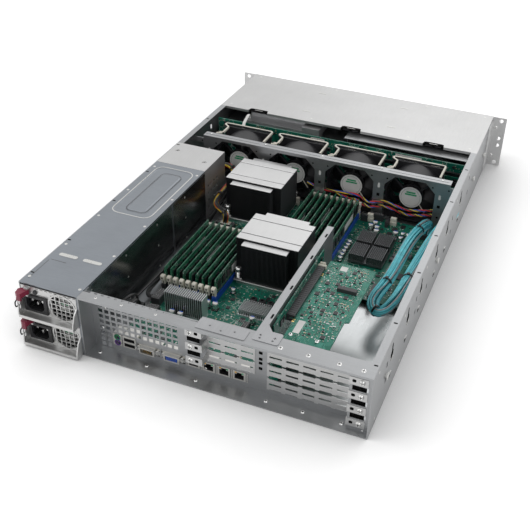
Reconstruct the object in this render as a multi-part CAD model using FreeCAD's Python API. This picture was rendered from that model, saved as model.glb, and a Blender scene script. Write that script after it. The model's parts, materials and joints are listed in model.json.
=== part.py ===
"""A 2U rack server with its rear top cover off: sheet-metal chassis, eight hot-swap drives, four
hot-swap fans, two hot-swap supplies, a two-processor board and a riser with an expansion card.

Frame: origin at the centre of the chassis floor's underside, +Z up, the drives and rack ears at -Y,
the supplies and sockets at +Y, +X to the right as seen from the front. Millimetres."""
import FreeCAD, Part
import math
import os

V = FreeCAD.Vector

# ---------------------------------------------------------------- chassis
CHASSIS_W = 437.0          # body between the rack posts
CHASSIS_H = 88.0           # two rack units less the gap between units
CHASSIS_D = 712.0          # front frame to rear edge
SHEET = 1.2                # chassis steel
WALL_LIP = 8.0             # inward flange on top of each side wall
BAY_D = 152.0              # depth under the fixed front cover
COVER_T = 1.0

HALF_W = CHASSIS_W / 2
REAR = CHASSIS_D / 2
FRONT = -REAR
INNER = HALF_W - SHEET     # inner face of a side wall
FLOOR = SHEET              # top of the floor
CEIL = CHASSIS_H - SHEET   # underside of the top flanges
SEAT = 0.3                 # gap under or beside a piece that slides on its seat
FIT = 0.25                 # gap around a plug-in piece

# ---------------------------------------------------------------- rack ears
EAR_OUT = 22.8             # how far an ear stands out from the side wall
EAR_T = 2.0
EAR_LEG = 42.0
EAR_HOLE_IN = 8.75         # hole centre in from the ear's edge
RACK_HOLE_R = 3.4
RACK_HOLES_OUTER = 76.2    # upper to lower hole
RACK_HOLES_INNER = 12.7    # middle pair
HANDLE_REACH = 32.0
HANDLE_BAR = 8.0
HANDLE_SPAN = 60.0

# ---------------------------------------------------------------- power supplies
PSU_W = 76.0
PSU_H = 40.5
PSU_D = 335.0
PSU_SIDE = 0.6             # gap beside a supply
SHELF_T = 1.0
CAGE_SEAM = 334.0          # rear edge to the seam in the cage's top
CAGE_D = 403.0             # rear edge to the distributor's front
DISTRIBUTOR_GAP = 24.0     # supplies' inner ends to the distributor board
PRESSED = 0.7              # depth of the stiffening dish in the cage's top
PRESS_BEVEL = 3.0
CAGE_X = INNER - PSU_W - 2 * PSU_SIDE - SHEET   # outer face of the cage's inner wall
PSU_X = INNER - PSU_SIDE - PSU_W / 2
INLET_W = 24.0
INLET_H = 17.0
INLET_DEPTH = 16.0
PSU_FAN_R = 18.6
PSU_FAN_DEPTH = 22.0
GRILLE_PITCH = 6.2
INLET_IN = 19.0            # inlet's middle in from the supply's outer side
PSU_HANDLE = 12.5          # how far the handle stands out
LATCH_PIN_R = 1.0
BAIL_R = 0.9
BAIL_REACH = 9.0

# ---------------------------------------------------------------- fan wall
FAN_W = 80.0
FAN_T = 38.0
FAN_PITCH = 94.0
FAN_MID = -2.5
FAN_Z = 46.0
FAN_BORE = 38.2
ROTOR_TIP = 37.4
HUB_R = 19.0
BLADES = 7
WALL_FROM_REAR = 443.0     # rear edge to the fan wall
RAIL_W = 14.0
POST_W = 17.0
GUSSET = 15.0

# ---------------------------------------------------------------- drive bays
DRIVE_W = 101.6
DRIVE_L = 147.0
DRIVE_H = 25.0
CARRIER_W = DRIVE_W + 3.4
CARRIER_H = DRIVE_H + 1.0
CAGE_T = 1.0
CARRIER_PITCH = CARRIER_W + CAGE_T + 0.5
BEZEL_D = 22.0
BEZEL_PROUD = 3.0
DRIVE_BEHIND_BEZEL = 4.0
LEVER_H = 10.0
LEVER_PIN_R = 1.2
PIN_STANDOFF = 3.4         # pin centre off the face that carries it
LUG_T = 2.0
PIN_PLAY = 0.05
BACKPLANE_T = 2.0
BACKPLANE_TOP = 80.0
DRIVE_SOCKET_D = 12.7      # backplane to the drives' back ends
BACKPLANE_Y = FRONT - BEZEL_PROUD + BEZEL_D + DRIVE_BEHIND_BEZEL + DRIVE_L + SEAT + DRIVE_SOCKET_D

# ---------------------------------------------------------------- optical drive and buttons
ODD_X = 104.0
ODD_W = 130.0
ODD_L = 158.0
ODD_H = 13.5
ODD_SKIN = 1.0
ODD_STANDOFF = 8.3         # sleeve above the shelf over the carriers
TRAY_L = 126.0
BUTTON_R = 3.5
BUTTON_Z = 73.0
BUTTON_TRAVEL = 1.2
SWITCH_BOARD_IN = 12.0     # front face to the board behind the buttons
POWER_X = -188.0
RESET_X = -172.0

# ---------------------------------------------------------------- main board
BOARD_T = 1.6
BOARD_TOP = 9.0
BOARD_LEFT = 113.0
BOARD_RIGHT = -196.0
BOARD_REAR = 27.0          # all three measured from the chassis rear edge
BOARD_FRONT = 440.0
BOARD_STEP = 232.0         # where the board widens in front of the card space
BOARD_STEP_X = -96.0

DIMM_L = 133.35
DIMM_T = 1.27
DIMM_H = 30.35
DIMM_PITCH = 9.2
DIMM_SEAT = BOARD_TOP + 1.6
SLOT_L = 142.0
SLOT_W = 6.4
SLOT_TOP = BOARD_TOP + 8.5
LATCH_TOP = BOARD_TOP + 23.0
BANKS = ((111.0, 152.0), (3.0, 298.0))   # first module's X and its rear end from the rear edge
MODULES_PER_BANK = 9

SINK_W = 88.0
SINK_L = 90.0
LOAD_FRAME_T = 3.0         # frame round each processor
SINK_SEAT = BOARD_TOP + LOAD_FRAME_T + 1.0
SINK_BASE = SINK_SEAT + 1.0
SINK_LIP_TOP = BOARD_TOP + 63.0
SINK_TOP = SINK_LIP_TOP + 3.0
FIN_PITCH = 2.9
FIN_GAP = 2.1
SINKS = ((-11.5, 243.5), (70.0, 387.0))   # centre X and centre from the rear edge

# ---------------------------------------------------------------- rear panel
RECESS = 24.0              # panel behind the chassis rear edge
PANEL_X = -191.0           # where the panel steps out to the screw column
COLUMN_Y = 9.0
GRID_TOP = 80.0            # the perforated part stops short of the bridge
GRID_HOLE = 6.0
GRID_PITCH = 8.3
SLOT_PITCH = 20.32
SLOT_PLATE = 17.6
SLOT_Z0 = 8.0
COVER_SHEET = 0.8
VENT_PITCH = 20.2          # slots along a cover
VENT_L = 15.0
VENT_H = 2.6
FULL_TAB = (-3.0, 7.5)     # a cover's tab, lower and upper edge above the cover's own lower edge
FULL_TAB_GAP = (9.2, 16.2) # window in the screw column above each tab
LOW_TAB = (3.0, 13.5)
FULL_ROWS = 4              # full-height slots
FULL_X = (-91.0, -190.0)   # their window
LOW_ROWS = 3               # low-profile slots
LOW_ROW_BASE = 25.5
LOW_X = (-16.0, -74.0)     # their window
LAN_X = 3.5                # first of the four network sockets
LAN_PITCH = 19.6
LAN_W = 16.4
LAN_H = 13.4

SECTION_SIDES = 6          # cables are drawn with an even-sided section
FAN_LEAD_R = 1.8

# ---------------------------------------------------------------- riser and card
BRIDGE_PLATE_T = 0.8       # plates screwed on top of the rear bridge
RISER_X = -88.0
RISER_T = 1.6
RISER_FACE = -85.0         # bracket face that the riser board's spacers stand on
CARD_Z = 70.0
CARD_L = 167.65
CARD_W = 64.4
CARD_REAR = 44.0


def from_rear(distance):
    return REAR - distance


def block(x0, x1, y0, y1, z0, z1):
    """A box given by any two opposite corners."""
    low = V(min(x0, x1), min(y0, y1), min(z0, z1))
    return Part.makeBox(abs(x1 - x0), abs(y1 - y0), abs(z1 - z0), low)


def rod(centre, radius, length, axis):
    return Part.makeCylinder(radius, length, V(*centre), V(*axis))


def prism(points, depth):
    """A closed outline of (x, y, z) points, pushed along depth."""
    wire = Part.makePolygon([V(*p) for p in points] + [V(*points[0])])
    return Part.Face(wire).extrude(V(*depth))


def fuse(shapes):
    return shapes[0].multiFuse(shapes[1:]).removeSplitter() if len(shapes) > 1 else shapes[0]


def carve(shape, tools):
    return shape.cut(Part.makeCompound(tools)) if tools else shape


def mirrored(shape):
    return shape.mirror(V(0, 0, 0), V(1, 0, 0))


def rounded_rectangle(x0, x1, y0, y1, z, radius):
    """A closed outline in plan with round corners."""
    corners = [(x1 - radius, y1 - radius, 0), (x0 + radius, y1 - radius, 90),
               (x0 + radius, y0 + radius, 180), (x1 - radius, y0 + radius, 270)]
    arcs = [Part.makeCircle(radius, V(x, y, z), V(0, 0, 1), angle, angle + 90) for x, y, angle in corners]
    edges = []
    for arc, following in zip(arcs, arcs[1:] + arcs[:1]):
        edges.append(arc)
        edges.append(Part.makeLine(arc.Vertexes[-1].Point, following.Vertexes[0].Point))
    return Part.Wire(edges)


def rounded_plate(x0, x1, y0, y1, z0, z1, radius):
    return Part.Face(rounded_rectangle(x0, x1, y0, y1, z0, radius)).extrude(V(0, 0, z1 - z0))


def pressing(x0, x1, y0, y1, z_wide, z_narrow, radius, bevel):
    """A round-cornered dish or ridge whose side slopes in by the bevel."""
    wide = rounded_rectangle(x0, x1, y0, y1, z_wide, radius)
    narrow = rounded_rectangle(x0 + bevel, x1 - bevel, y0 + bevel, y1 - bevel, z_narrow, radius - bevel)
    return Part.makeLoft([wide, narrow], True, True)


def stacked(sections):
    """A closed solid through flat sections of equally many points, its sides split into flat facets."""
    faces = [Part.Face(Part.makePolygon(section + section[:1])) for section in (sections[0], sections[-1])]
    for low, high in zip(sections, sections[1:]):
        for k in range(len(low)):
            for facet in ((low[k - 1], low[k], high[k]), (low[k - 1], high[k], high[k - 1])):
                faces.append(Part.Face(Part.makePolygon(list(facet) + [facet[0]])))
    return Part.Solid(Part.Shell(faces))


def many_sided(x, y, z0, z1, radius, sides):
    """A small upright round part, drawn with even sides."""
    angles = [2 * math.pi * k / sides for k in range(sides)]
    return prism([(x + radius * math.cos(a), y + radius * math.sin(a), z0) for a in angles], (0, 0, z1 - z0))


def many_sided_bar(x, z, y0, y1, radius, sides):
    """The same along Y."""
    angles = [2 * math.pi * k / sides for k in range(sides)]
    return prism([(x + radius * math.cos(a), y0, z + radius * math.sin(a)) for a in angles], (0, y1 - y0, 0))


def ribbon(points, width, z0, z1):
    """A flat bar of even width along a path in plan, chamfered at its bends."""
    pieces = []
    for (ax, ay), (bx, by) in zip(points, points[1:]):
        length = math.hypot(bx - ax, by - ay)
        nx, ny = -(by - ay) / length * width / 2, (bx - ax) / length * width / 2
        corners = [(ax + nx, ay + ny, z0), (bx + nx, by + ny, z0),
                   (bx - nx, by - ny, z0), (ax - nx, ay - ny, z0)]
        pieces.append(prism(corners, (0, 0, z1 - z0)))
    for x, y in points[1:-1]:
        pieces.append(many_sided(x, y, z0, z1, width / 2, 8))
    return fuse(pieces)


def section_across(start, towards, radius):
    """The even-sided section of a wire or cable at the start of its first run."""
    along = (towards - start).normalize()
    side = along.cross(V(0, 0, 1) if abs(along.z) < 0.9 else V(0, 1, 0)).normalize()
    across = along.cross(side)
    corners = []
    for k in range(SECTION_SIDES):
        angle = 2 * math.pi * k / SECTION_SIDES
        corners.append(start + side * (radius * math.cos(angle)) + across * (radius * math.sin(angle)))
    return Part.makePolygon(corners + corners[:1])


def bent_wire(points, radius):
    """A stiff wire along straight runs, mitred where they meet."""
    route = [V(*p) for p in points]
    section = section_across(route[0], route[1], radius)
    mitred = 1
    return Part.makePolygon(route).makePipeShell([section], True, True, mitred)


def tube(points, radius):
    """A round cable along straight runs joined by tangent arcs."""
    route = [V(*p) for p in points]
    edges = []
    start = route[0]
    for before, corner, after in zip(route, route[1:], route[2:]):
        run_in, run_out = corner - before, after - corner
        turn = run_in.getAngle(run_out)
        reach = 0.45 * min(run_in.Length, run_out.Length)
        unit_in, unit_out = V(run_in).normalize(), V(run_out).normalize()
        enter, leave = corner - unit_in * reach, corner + unit_out * reach
        bend = reach / math.tan(turn / 2)
        sag = bend / math.cos(turn / 2) - bend
        middle = corner + (unit_out - unit_in).normalize() * sag
        edges.append(Part.LineSegment(start, enter).toShape())
        edges.append(Part.Arc(enter, middle, leave).toShape())
        start = leave
    edges.append(Part.LineSegment(start, route[-1]).toShape())
    return Part.Wire(edges).makePipeShell([section_across(route[0], route[1], radius)], True, True)


# ================================================================ chassis
def side_wall_slots():
    """Rail and cover slots punched through both side walls: (from rear, height)."""
    slots = []
    for distance, height in ((518, 66), (518, 41), (400, 60), (400, 37), (255, 37), (193, 59),
                             (193, 39), (60, 60), (60, 37)):
        y = from_rear(distance)
        slots.append(block(-HALF_W - 1, HALF_W + 1, y - 2.5, y + 2.5, height - 4, height + 4))
    return slots


def chassis_pan():
    """Floor and side walls folded from one sheet, with inward lips behind the front cover."""
    outline = [(-HALF_W, FRONT, 0), (HALF_W, FRONT, 0), (HALF_W, FRONT, CHASSIS_H),
               (INNER, FRONT, CHASSIS_H), (INNER, FRONT, FLOOR), (-INNER, FRONT, FLOOR),
               (-INNER, FRONT, CHASSIS_H), (-HALF_W, FRONT, CHASSIS_H)]
    pan = prism(outline, (0, CHASSIS_D, 0))
    cover_edge = FRONT + BAY_D
    right_lip = block(-INNER, -INNER + WALL_LIP, cover_edge, from_rear(RECESS) - SHEET, CEIL, CHASSIS_H)
    left_lip = block(INNER, INNER - WALL_LIP, cover_edge, from_rear(CAGE_D), CEIL, CHASSIS_H)
    cover_steps = [block(s * HALF_W, s * INNER, FRONT, cover_edge, CHASSIS_H - COVER_T, CHASSIS_H)
                   for s in (-1, 1)]
    pan = fuse([pan, right_lip, left_lip])
    return carve(pan, side_wall_slots() + cover_steps)


def drive_bay_cover():
    """The fixed cover over the drives, with three latch windows along its rear edge."""
    y0, y1 = FRONT, FRONT + BAY_D
    z0 = CHASSIS_H - COVER_T
    cover = block(-HALF_W, HALF_W, y0, y1, z0, CHASSIS_H)
    hem = block(-INNER + 1, INNER - 1, y1 - COVER_T, y1, z0 - 3, z0)
    windows = [block(x - 14, x + 14, y1 - 9, y1 - 5, z0 - 1, CHASSIS_H + 1)
               for x in (151, -12, -149)]
    steps = [block(x - 17, x + 17, y1 - 3, y1 + 1, z0 - 4, CHASSIS_H + 1) for x in (151, -12, -149)]
    return carve(fuse([cover, hem]), windows + steps)


def bow_handle(x, middle):
    """A bow of flat bar on the ear's front face, rounded at its outer corners."""
    half = HANDLE_SPAN / 2
    outer = block(x, x + HANDLE_BAR, FRONT - HANDLE_REACH, FRONT, middle - half, middle + half)
    inner = block(x - 1, x + HANDLE_BAR + 1, FRONT - HANDLE_REACH + HANDLE_BAR, FRONT + 1,
                  middle - half + HANDLE_BAR, middle + half - HANDLE_BAR)
    corners = [e for e in outer.Edges if e.BoundBox.XLength > 1 and e.BoundBox.YMax < FRONT - 1]
    return outer.makeFillet(HANDLE_BAR, corners).cut(inner)


def rack_ears():
    """An angle on each front corner, bored for the rack posts, and its bow handle."""
    middle = CHASSIS_H / 2
    x_edge = HALF_W + EAR_OUT
    flange = block(HALF_W, x_edge, FRONT, FRONT + EAR_T, 0.4, CHASSIS_H - 0.4)
    leg = block(HALF_W, HALF_W + SHEET, FRONT, FRONT + EAR_LEG, 6, CHASSIS_H - 6)
    holes = []
    for spacing in (RACK_HOLES_OUTER, RACK_HOLES_INNER):
        for side in (-1, 1):
            centre = (x_edge - EAR_HOLE_IN, FRONT - 1, middle + side * spacing / 2)
            holes.append(rod(centre, RACK_HOLE_R, EAR_T + 2, (0, 1, 0)))
    ear = carve(fuse([flange, leg]), holes)
    bow = bow_handle(HALF_W + 2.5, middle)
    return [ear, bow, mirrored(ear), mirrored(bow)]


# ================================================================ rear panel
def panel_grid():
    """The square ventilation holes: a full field and the columns beside the keyboard sockets."""
    tools = []
    wall_y = from_rear(RECESS)
    for column in range(13):
        x = 126.0 - column * GRID_PITCH
        rows = 9 if column < 2 else 6
        for row in range(rows):
            z = 72.0 - row * GRID_PITCH
            tools.append(block(x - GRID_HOLE / 2, x + GRID_HOLE / 2, wall_y - SHEET - 1, wall_y + 1,
                               z - GRID_HOLE / 2, z + GRID_HOLE / 2))
    return tools


def port_windows():
    """Openings for the sockets: (X high, X low, Z low, Z high)."""
    wall_y = from_rear(RECESS)
    places = [(98.6, 80.2, 8.6, 26.6), (112.0, 99.2, 8.6, 26.6), (79.2, 48.8, 8.6, 21.0),
              (46.8, 14.8, 8.6, 21.0)]
    for index in range(4):
        x = LAN_X - index * LAN_PITCH
        places.append((x + LAN_W / 2 + FIT, x - LAN_W / 2 - FIT, 8.6, BOARD_TOP + LAN_H + FIT))
    return [block(x1, x0, wall_y - SHEET - 1, wall_y + 1, z0, z1) for x1, x0, z0, z1 in places]


def slot_windows():
    wall_y = from_rear(RECESS)
    full = block(*FULL_X, wall_y - SHEET - 1, wall_y + 1, SLOT_Z0, SLOT_Z0 + FULL_ROWS * SLOT_PITCH - 3)
    low = block(*LOW_X, wall_y - SHEET - 1, wall_y + 1, LOW_ROW_BASE,
                LOW_ROW_BASE + LOW_ROWS * SLOT_PITCH - 3)
    return [full, low]


def rear_wall():
    """The recessed rear panel, its stepped screw column and the bridge over the top."""
    wall_y = from_rear(RECESS)
    left = CAGE_X - FIT
    plate = block(PANEL_X, left, wall_y - SHEET, wall_y, FLOOR, GRID_TOP)
    tall = block(PANEL_X, -10, wall_y - SHEET, wall_y, FLOOR, CEIL)
    end_return = block(left - SHEET, left, wall_y, REAR, FLOOR, CEIL)
    step = block(PANEL_X, PANEL_X - SHEET, wall_y - SHEET, from_rear(COLUMN_Y), FLOOR, CEIL)
    column = block(PANEL_X, -INNER, from_rear(COLUMN_Y), from_rear(COLUMN_Y) - SHEET, FLOOR, CEIL)
    rail = block(-INNER, left, REAR - 13, REAR, CEIL, CHASSIS_H)
    wide = block(-INNER, -10, wall_y - SHEET, REAR, CEIL, CHASSIS_H)
    skirt = block(-INNER, left, REAR - SHEET, REAR, CEIL - 2, CEIL)
    teeth = [block(x - 2.5, x + 2.5, REAR - 16, REAR - 13, CEIL, CHASSIS_H)
             for x in (left - 12 - 9 * k for k in range(11))]
    wall = fuse([plate, tall, end_return, step, column, rail, wide, skirt] + teeth)
    column_windows = [block(PANEL_X - 3, -INNER + 5, from_rear(COLUMN_Y) - SHEET - 1,
                            from_rear(COLUMN_Y) + 1, z + FULL_TAB_GAP[0], z + FULL_TAB_GAP[1])
                      for z in (SLOT_Z0 + row * SLOT_PITCH for row in range(FULL_ROWS))]
    return carve(wall, panel_grid() + port_windows() + slot_windows() + column_windows)


def slot_cover(x_near, x_far, x_tab, z0, tab_edges):
    """A vented cover: its plate, the step out to the screw column and the screw tab."""
    wall_y = from_rear(RECESS)
    tab_y = from_rear(COLUMN_Y)
    way = 1 if x_tab > x_far else -1
    tab_z0, tab_z1 = z0 + tab_edges[0], z0 + tab_edges[1]
    plate = block(x_near, x_far, wall_y, wall_y + COVER_SHEET, z0, z0 + SLOT_PLATE)
    step = block(x_far, x_far - way * COVER_SHEET, wall_y, tab_y, max(z0, tab_z0), tab_z1)
    tab = block(x_far - way * COVER_SHEET, x_tab, tab_y, tab_y + COVER_SHEET, tab_z0, tab_z1)
    count = round(abs(x_far - x_near) / VENT_PITCH)
    start = (x_near + x_far) / 2 - (count - 1) * VENT_PITCH / 2
    vents = [block(x - VENT_L / 2, x + VENT_L / 2, wall_y - 1, wall_y + 2, z - VENT_H / 2, z + VENT_H / 2)
             for x in (start + index * VENT_PITCH for index in range(count))
             for z in (z0, z0 + SLOT_PLATE / 2, z0 + SLOT_PLATE)]
    return carve(fuse([plate, step, tab]), vents)


def slot_covers():
    covers = []
    margin = 1.0
    for row in range(FULL_ROWS):
        z0 = SLOT_Z0 + row * SLOT_PITCH
        covers.append(slot_cover(FULL_X[0] + margin, PANEL_X + 0.1, -212.0, z0, FULL_TAB))
    for row in range(LOW_ROWS):
        z0 = LOW_ROW_BASE + row * SLOT_PITCH
        covers.append(slot_cover(LOW_X[1] - margin, LOW_X[0] + margin, 5.0, z0, LOW_TAB))
    return covers


# ================================================================ power supplies
def psu_z(index):
    """Underside of supply 0 (lower) or 1 (upper)."""
    return FLOOR + SEAT + index * (PSU_H + 2 * SEAT + SHELF_T + 0.3)


def psu_fan_x():
    return PSU_X - PSU_W / 2 + PSU_FAN_R + 1.4


def psu_cage():
    """The tunnel for the supplies: top, inner wall and the shelf between the two."""
    y0, y1 = from_rear(CAGE_SEAM), REAR
    shelf_z = psu_z(1) - SEAT
    top = block(CAGE_X, INNER, y0, y1, CEIL, CHASSIS_H)
    wall = block(CAGE_X, CAGE_X + SHEET, y0, y1, FLOOR, CEIL)
    shelf = block(CAGE_X + SHEET, INNER, y0, y1 - 1, shelf_z - SHELF_T, shelf_z)
    floor_z = CHASSIS_H - PRESSED
    dish = pressing(148, 207, from_rear(322), from_rear(183), CHASSIS_H, floor_z, 12, PRESS_BEVEL)
    ridge = pressing(160, 191, from_rear(306), from_rear(195), floor_z, CHASSIS_H, 8, PRESS_BEVEL)
    slots = [pressing(x, x + 27, from_rear(70), from_rear(66), CHASSIS_H, floor_z, 1.9, 0.6)
             for x in (147, 181)]
    return fuse([carve(fuse([top, wall, shelf]), [dish] + slots), ridge])


def power_distributor():
    """The cap in front of the supplies and the board inside that joins them to the harness."""
    y0, y1 = from_rear(CAGE_D), from_rear(CAGE_SEAM) - FIT
    shell = block(CAGE_X, INNER, y0, y1, FLOOR, CHASSIS_H)
    cavity = block(CAGE_X + SHEET, INNER + 1, y0 + SHEET, y1 + 1, FLOOR - 1, CEIL)
    holes = [rod((x, from_rear(d), CEIL - 1), r, 4, (0, 0, 1))
             for x, d, r in ((206, 378, 3.0), (152, 360, 3.0))]
    outlet = block(150, 200, y0 - 1, y0 + SHEET + 1, 30, 70)
    vents = [block(CAGE_X - 1, CAGE_X + SHEET + 1, from_rear(d) - 2.5, from_rear(d) + 2.5, z, z + 5)
             for d in (345, 355, 365, 375) for z in (20, 32, 44, 56)]
    cap = carve(shell, [cavity, outlet] + holes + vents)
    inner_y = from_rear(PSU_D + DISTRIBUTOR_GAP)
    board = block(CAGE_X + SHEET, INNER, inner_y, inner_y + 2, FLOOR, 82)
    sockets = [block(PSU_X - 26, PSU_X + 26, inner_y + 2, from_rear(PSU_D) - 8, psu_z(i) + 8,
                     psu_z(i) + 22) for i in (0, 1)]
    return [cap, board] + sockets


def psu_module(index):
    """A supply's case with its inlet, fan grille, edge contacts and folded handle."""
    z0 = psu_z(index)
    x0, x1 = PSU_X - PSU_W / 2, PSU_X + PSU_W / 2
    case = block(x0, x1, from_rear(PSU_D), REAR, z0, z0 + PSU_H)
    inlet_x, inlet_z = x1 - INLET_IN, z0 + 17.0
    w, h, c = INLET_W / 2, INLET_H / 2, 4.0
    mouth = prism([(inlet_x - w, REAR + 1, inlet_z + h), (inlet_x + w, REAR + 1, inlet_z + h),
                   (inlet_x + w, REAR + 1, inlet_z - h + c), (inlet_x + w - c, REAR + 1, inlet_z - h),
                   (inlet_x - w + c, REAR + 1, inlet_z - h), (inlet_x - w, REAR + 1, inlet_z - h + c)],
                  (0, -INLET_DEPTH - 1, 0))
    fan_x, fan_z = psu_fan_x(), z0 + PSU_H / 2
    chamber = rod((fan_x, REAR - 2.0, fan_z), PSU_FAN_R + 0.4, PSU_FAN_DEPTH, (0, -1, 0))
    cells = []
    for i in range(-2, 3):
        for j in range(-2, 3):
            x, z = fan_x + i * GRILLE_PITCH, fan_z + j * GRILLE_PITCH
            if abs(i) + abs(j) < 4:
                cells.append(block(x - 2.6, x + 2.6, REAR - 3, REAR + 1, z - 2.6, z + 2.6))
    case = carve(case.cut(mouth).cut(chamber), cells)
    pins = [block(inlet_x + dx - 1, inlet_x + dx + 1, REAR - INLET_DEPTH, REAR - 3,
                  inlet_z + dz - 2, inlet_z + dz + 2) for dx, dz in ((-7, 3), (7, 3), (0, -1.5))]
    edge_board = block(PSU_X - 22, PSU_X + 22, from_rear(PSU_D) - 8, from_rear(PSU_D), z0 + 14, z0 + 16)
    out = REAR + PSU_HANDLE
    t = 1.5
    foot = block(x0, x1, REAR, out, z0, z0 + t)
    lip = block(x0, x1, out - t, out, z0, z0 + 4)
    left_arm = prism([(x1 - t, REAR, z0), (x1 - t, out, z0), (x1 - t, out, z0 + 7),
                      (x1 - t, out - 3, z0 + 26), (x1 - t, REAR, z0 + 30)], (t, 0, 0))
    right_arm = prism([(x0, REAR, z0), (x0, out, z0), (x0, out - 1, z0 + 8), (x0, out - 6, z0 + 20),
                       (x0, REAR, z0 + 26)], (t, 0, 0))
    arm_hole = block(x1 - t - 1, x1 + 1, out - 5, out - 2.5, z0 + 10, z0 + 22)
    bail_x, bail_y = psu_bail_axis()
    ears = [block(x1 - 0.5, bail_x + BAIL_R + 0.8, bail_y - 1.8, bail_y + 1.8, z, z + 2.0)
            for z in (z0 + 9.0, z0 + 25.6)]
    ears = [ear.cut(rod((bail_x, bail_y, z0), BAIL_R + PIN_PLAY, PSU_H, (0, 0, 1))) for ear in ears]
    handle = carve(fuse([foot, lip, left_arm, right_arm]), [arm_hole])
    latch_x = psu_latch_axis()[0]
    lugs = pin_and_lugs(latch_x, REAR, 1, z0 + PSU_H - 11.8, z0 + PSU_H - 0.5, LATCH_PIN_R)
    axle = rod((fan_x, REAR - 2 - PSU_FAN_DEPTH, fan_z), 1.5, 12, (0, 1, 0))
    return fuse([case, handle, edge_board, axle] + pins + ears + lugs)


def psu_fan(index):
    """The impeller behind a supply's grille, bored for its axle."""
    fan_x, fan_z = psu_fan_x(), psu_z(index) + PSU_H / 2
    back = REAR - 2 - PSU_FAN_DEPTH + 3
    rotor = [many_sided_bar(fan_x, fan_z, back, back + 14, 8.0, 16)]
    for k in range(5):
        blade = prism([(7.0, -6, 0.5), (17.0, -6, 0.5), (17.0, 5, 4.0), (7.0, 5, 4.0)], (0, 0.9, -1.2))
        blade.rotate(V(0, 0, 0), V(0, 1, 0), 72 * k)
        blade.translate(V(fan_x, back + 7, fan_z))
        rotor.append(blade)
    return fuse(rotor).cut(rod((fan_x, back - 1, fan_z), 1.5 + PIN_PLAY, 10.5, (0, 1, 0)))


def psu_latch(index):
    """The burgundy release lever at the upper outer corner, turning on an upright pin."""
    z1 = psu_z(index) + PSU_H - LUG_T - 0.9
    x, y = psu_latch_axis()
    outline = [(x + 1.5, y + 11), (x + 6.0, y + 12), (x + 7.5, y + 4), (x + 5.5, y - 2.4)]
    return pinned_lever(x, y, z1 - 6.5, z1, LATCH_PIN_R, outline)


def psu_latch_axis():
    return PSU_X + PSU_W / 2 - 10.0, REAR + PIN_STANDOFF


def psu_bail_axis():
    return PSU_X + PSU_W / 2 + BAIL_R + 0.6, REAR + 4.0


def psu_bail(index):
    """The wire loop that keeps the mains plug in, its ends turned into two lugs on the handle."""
    z0 = psu_z(index)
    x, y = psu_bail_axis()
    far = y + BAIL_REACH
    points = [(x, y, z0 + 27.2), (x, y, z0 + 25.2), (x, y + 1.5, z0 + 24), (x, far - 2, z0 + 23),
              (x, far, z0 + 21), (x, far, z0 + 16.5), (x, far - 2, z0 + 14.5),
              (x, y + 1.5, z0 + 12.6), (x, y, z0 + 11.4), (x, y, z0 + 9.4)]
    return bent_wire(points, BAIL_R)


# ================================================================ fan wall
def fan_x(index):
    return FAN_MID + (1.5 - index) * FAN_PITCH


def fan_wall():
    """The cross wall that the fans stand against: rail, posts with gussets and a foot."""
    y1 = from_rear(WALL_FROM_REAR)
    y0 = y1 - SHEET
    x_left, x_right = fan_x(0) + 56, fan_x(3) - 59.5
    plate = block(x_right, x_left, y0, y1, FLOOR, CHASSIS_H)
    rail = block(x_right, x_left, y1 - RAIL_W, y1, CEIL, CHASSIS_H)
    foot = block(x_right, x_left, y1 - RAIL_W + 2, y1, FLOOR, FLOOR + 1.0)
    half = (FAN_PITCH - POST_W) / 2
    openings = []
    for index in range(4):
        x = fan_x(index)
        bottom, top = 8.0, CHASSIS_H - 5.0
        outline = [(x - half, y1 + 1, bottom), (x + half, y1 + 1, bottom),
                   (x + half, y1 + 1, top - GUSSET), (x + half - GUSSET, y1 + 1, top),
                   (x - half + GUSSET, y1 + 1, top), (x - half, y1 + 1, top - GUSSET)]
        openings.append(prism(outline, (0, -SHEET - 2, 0)))
    wall = carve(fuse([plate, rail, foot]), openings)
    brackets = [block(x_right, -INNER, y0, y1, CEIL - 18, CEIL - 4),
                block(x_left, INNER, y0, y1, CEIL - 12, CEIL - 4)]
    return fuse([wall] + brackets)


def fan_module(index):
    """A fan's square frame and barrel, the motor mount on struts, its plug and its lift frame."""
    x = fan_x(index)
    y1 = from_rear(WALL_FROM_REAR + RAIL_W) - SEAT
    y0 = y1 - FAN_T
    flange_t, half = 4.0, FAN_W / 2
    flanges = [block(x - half, x + half, y, y + flange_t, FAN_Z - half, FAN_Z + half)
               for y in (y0, y1 - flange_t)]
    barrel = rod((x, y0, FAN_Z), FAN_BORE + 1.6, FAN_T, (0, 1, 0))
    body = fuse(flanges + [barrel]).cut(rod((x, y0 - 1, FAN_Z), FAN_BORE, FAN_T + 2, (0, 1, 0)))
    body = body.cut(Part.makeCompound([block(x - 60, x + 60, y0 - 1, y1 + 1, FAN_Z + half, FAN_Z + 60),
                                       block(x - 60, x + 60, y0 - 1, y1 + 1, -20, FAN_Z - half)]))
    mount = many_sided_bar(x, FAN_Z, y1 - 5, y1 - 0.5, 17.0, 16)
    mount = mount.cut(rod((x, y1 - 6, FAN_Z), 1.56, 4.0, (0, 1, 0)))
    struts = []
    for k in range(4):
        strut = block(16, FAN_BORE + 0.8, y1 - 4, y1 - 1, -1.5, 1.5)
        strut.rotate(V(0, 0, 0), V(0, 1, 0), 45 + 90 * k)
        strut.translate(V(x, 0, FAN_Z))
        struts.append(strut)
    plug = block(x - 30, x + 10, y1 - 26, y1 - 12, FLOOR + SEAT, FAN_Z - half)
    top = FAN_Z + half
    front, rear = y0 - 2.0, y1 - 1.6
    path = [(x - half, rear), (x - half, front), (x + half + 1, front), (x + half + 1, front + 5),
            (x + half - 8, front + 12), (x + half - 8, rear - 4), (x + half + 1, rear)]
    frame = ribbon(path, 3.0, top, top + 2.6)
    return fuse([body, mount, plug] + struts + [frame])


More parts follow.
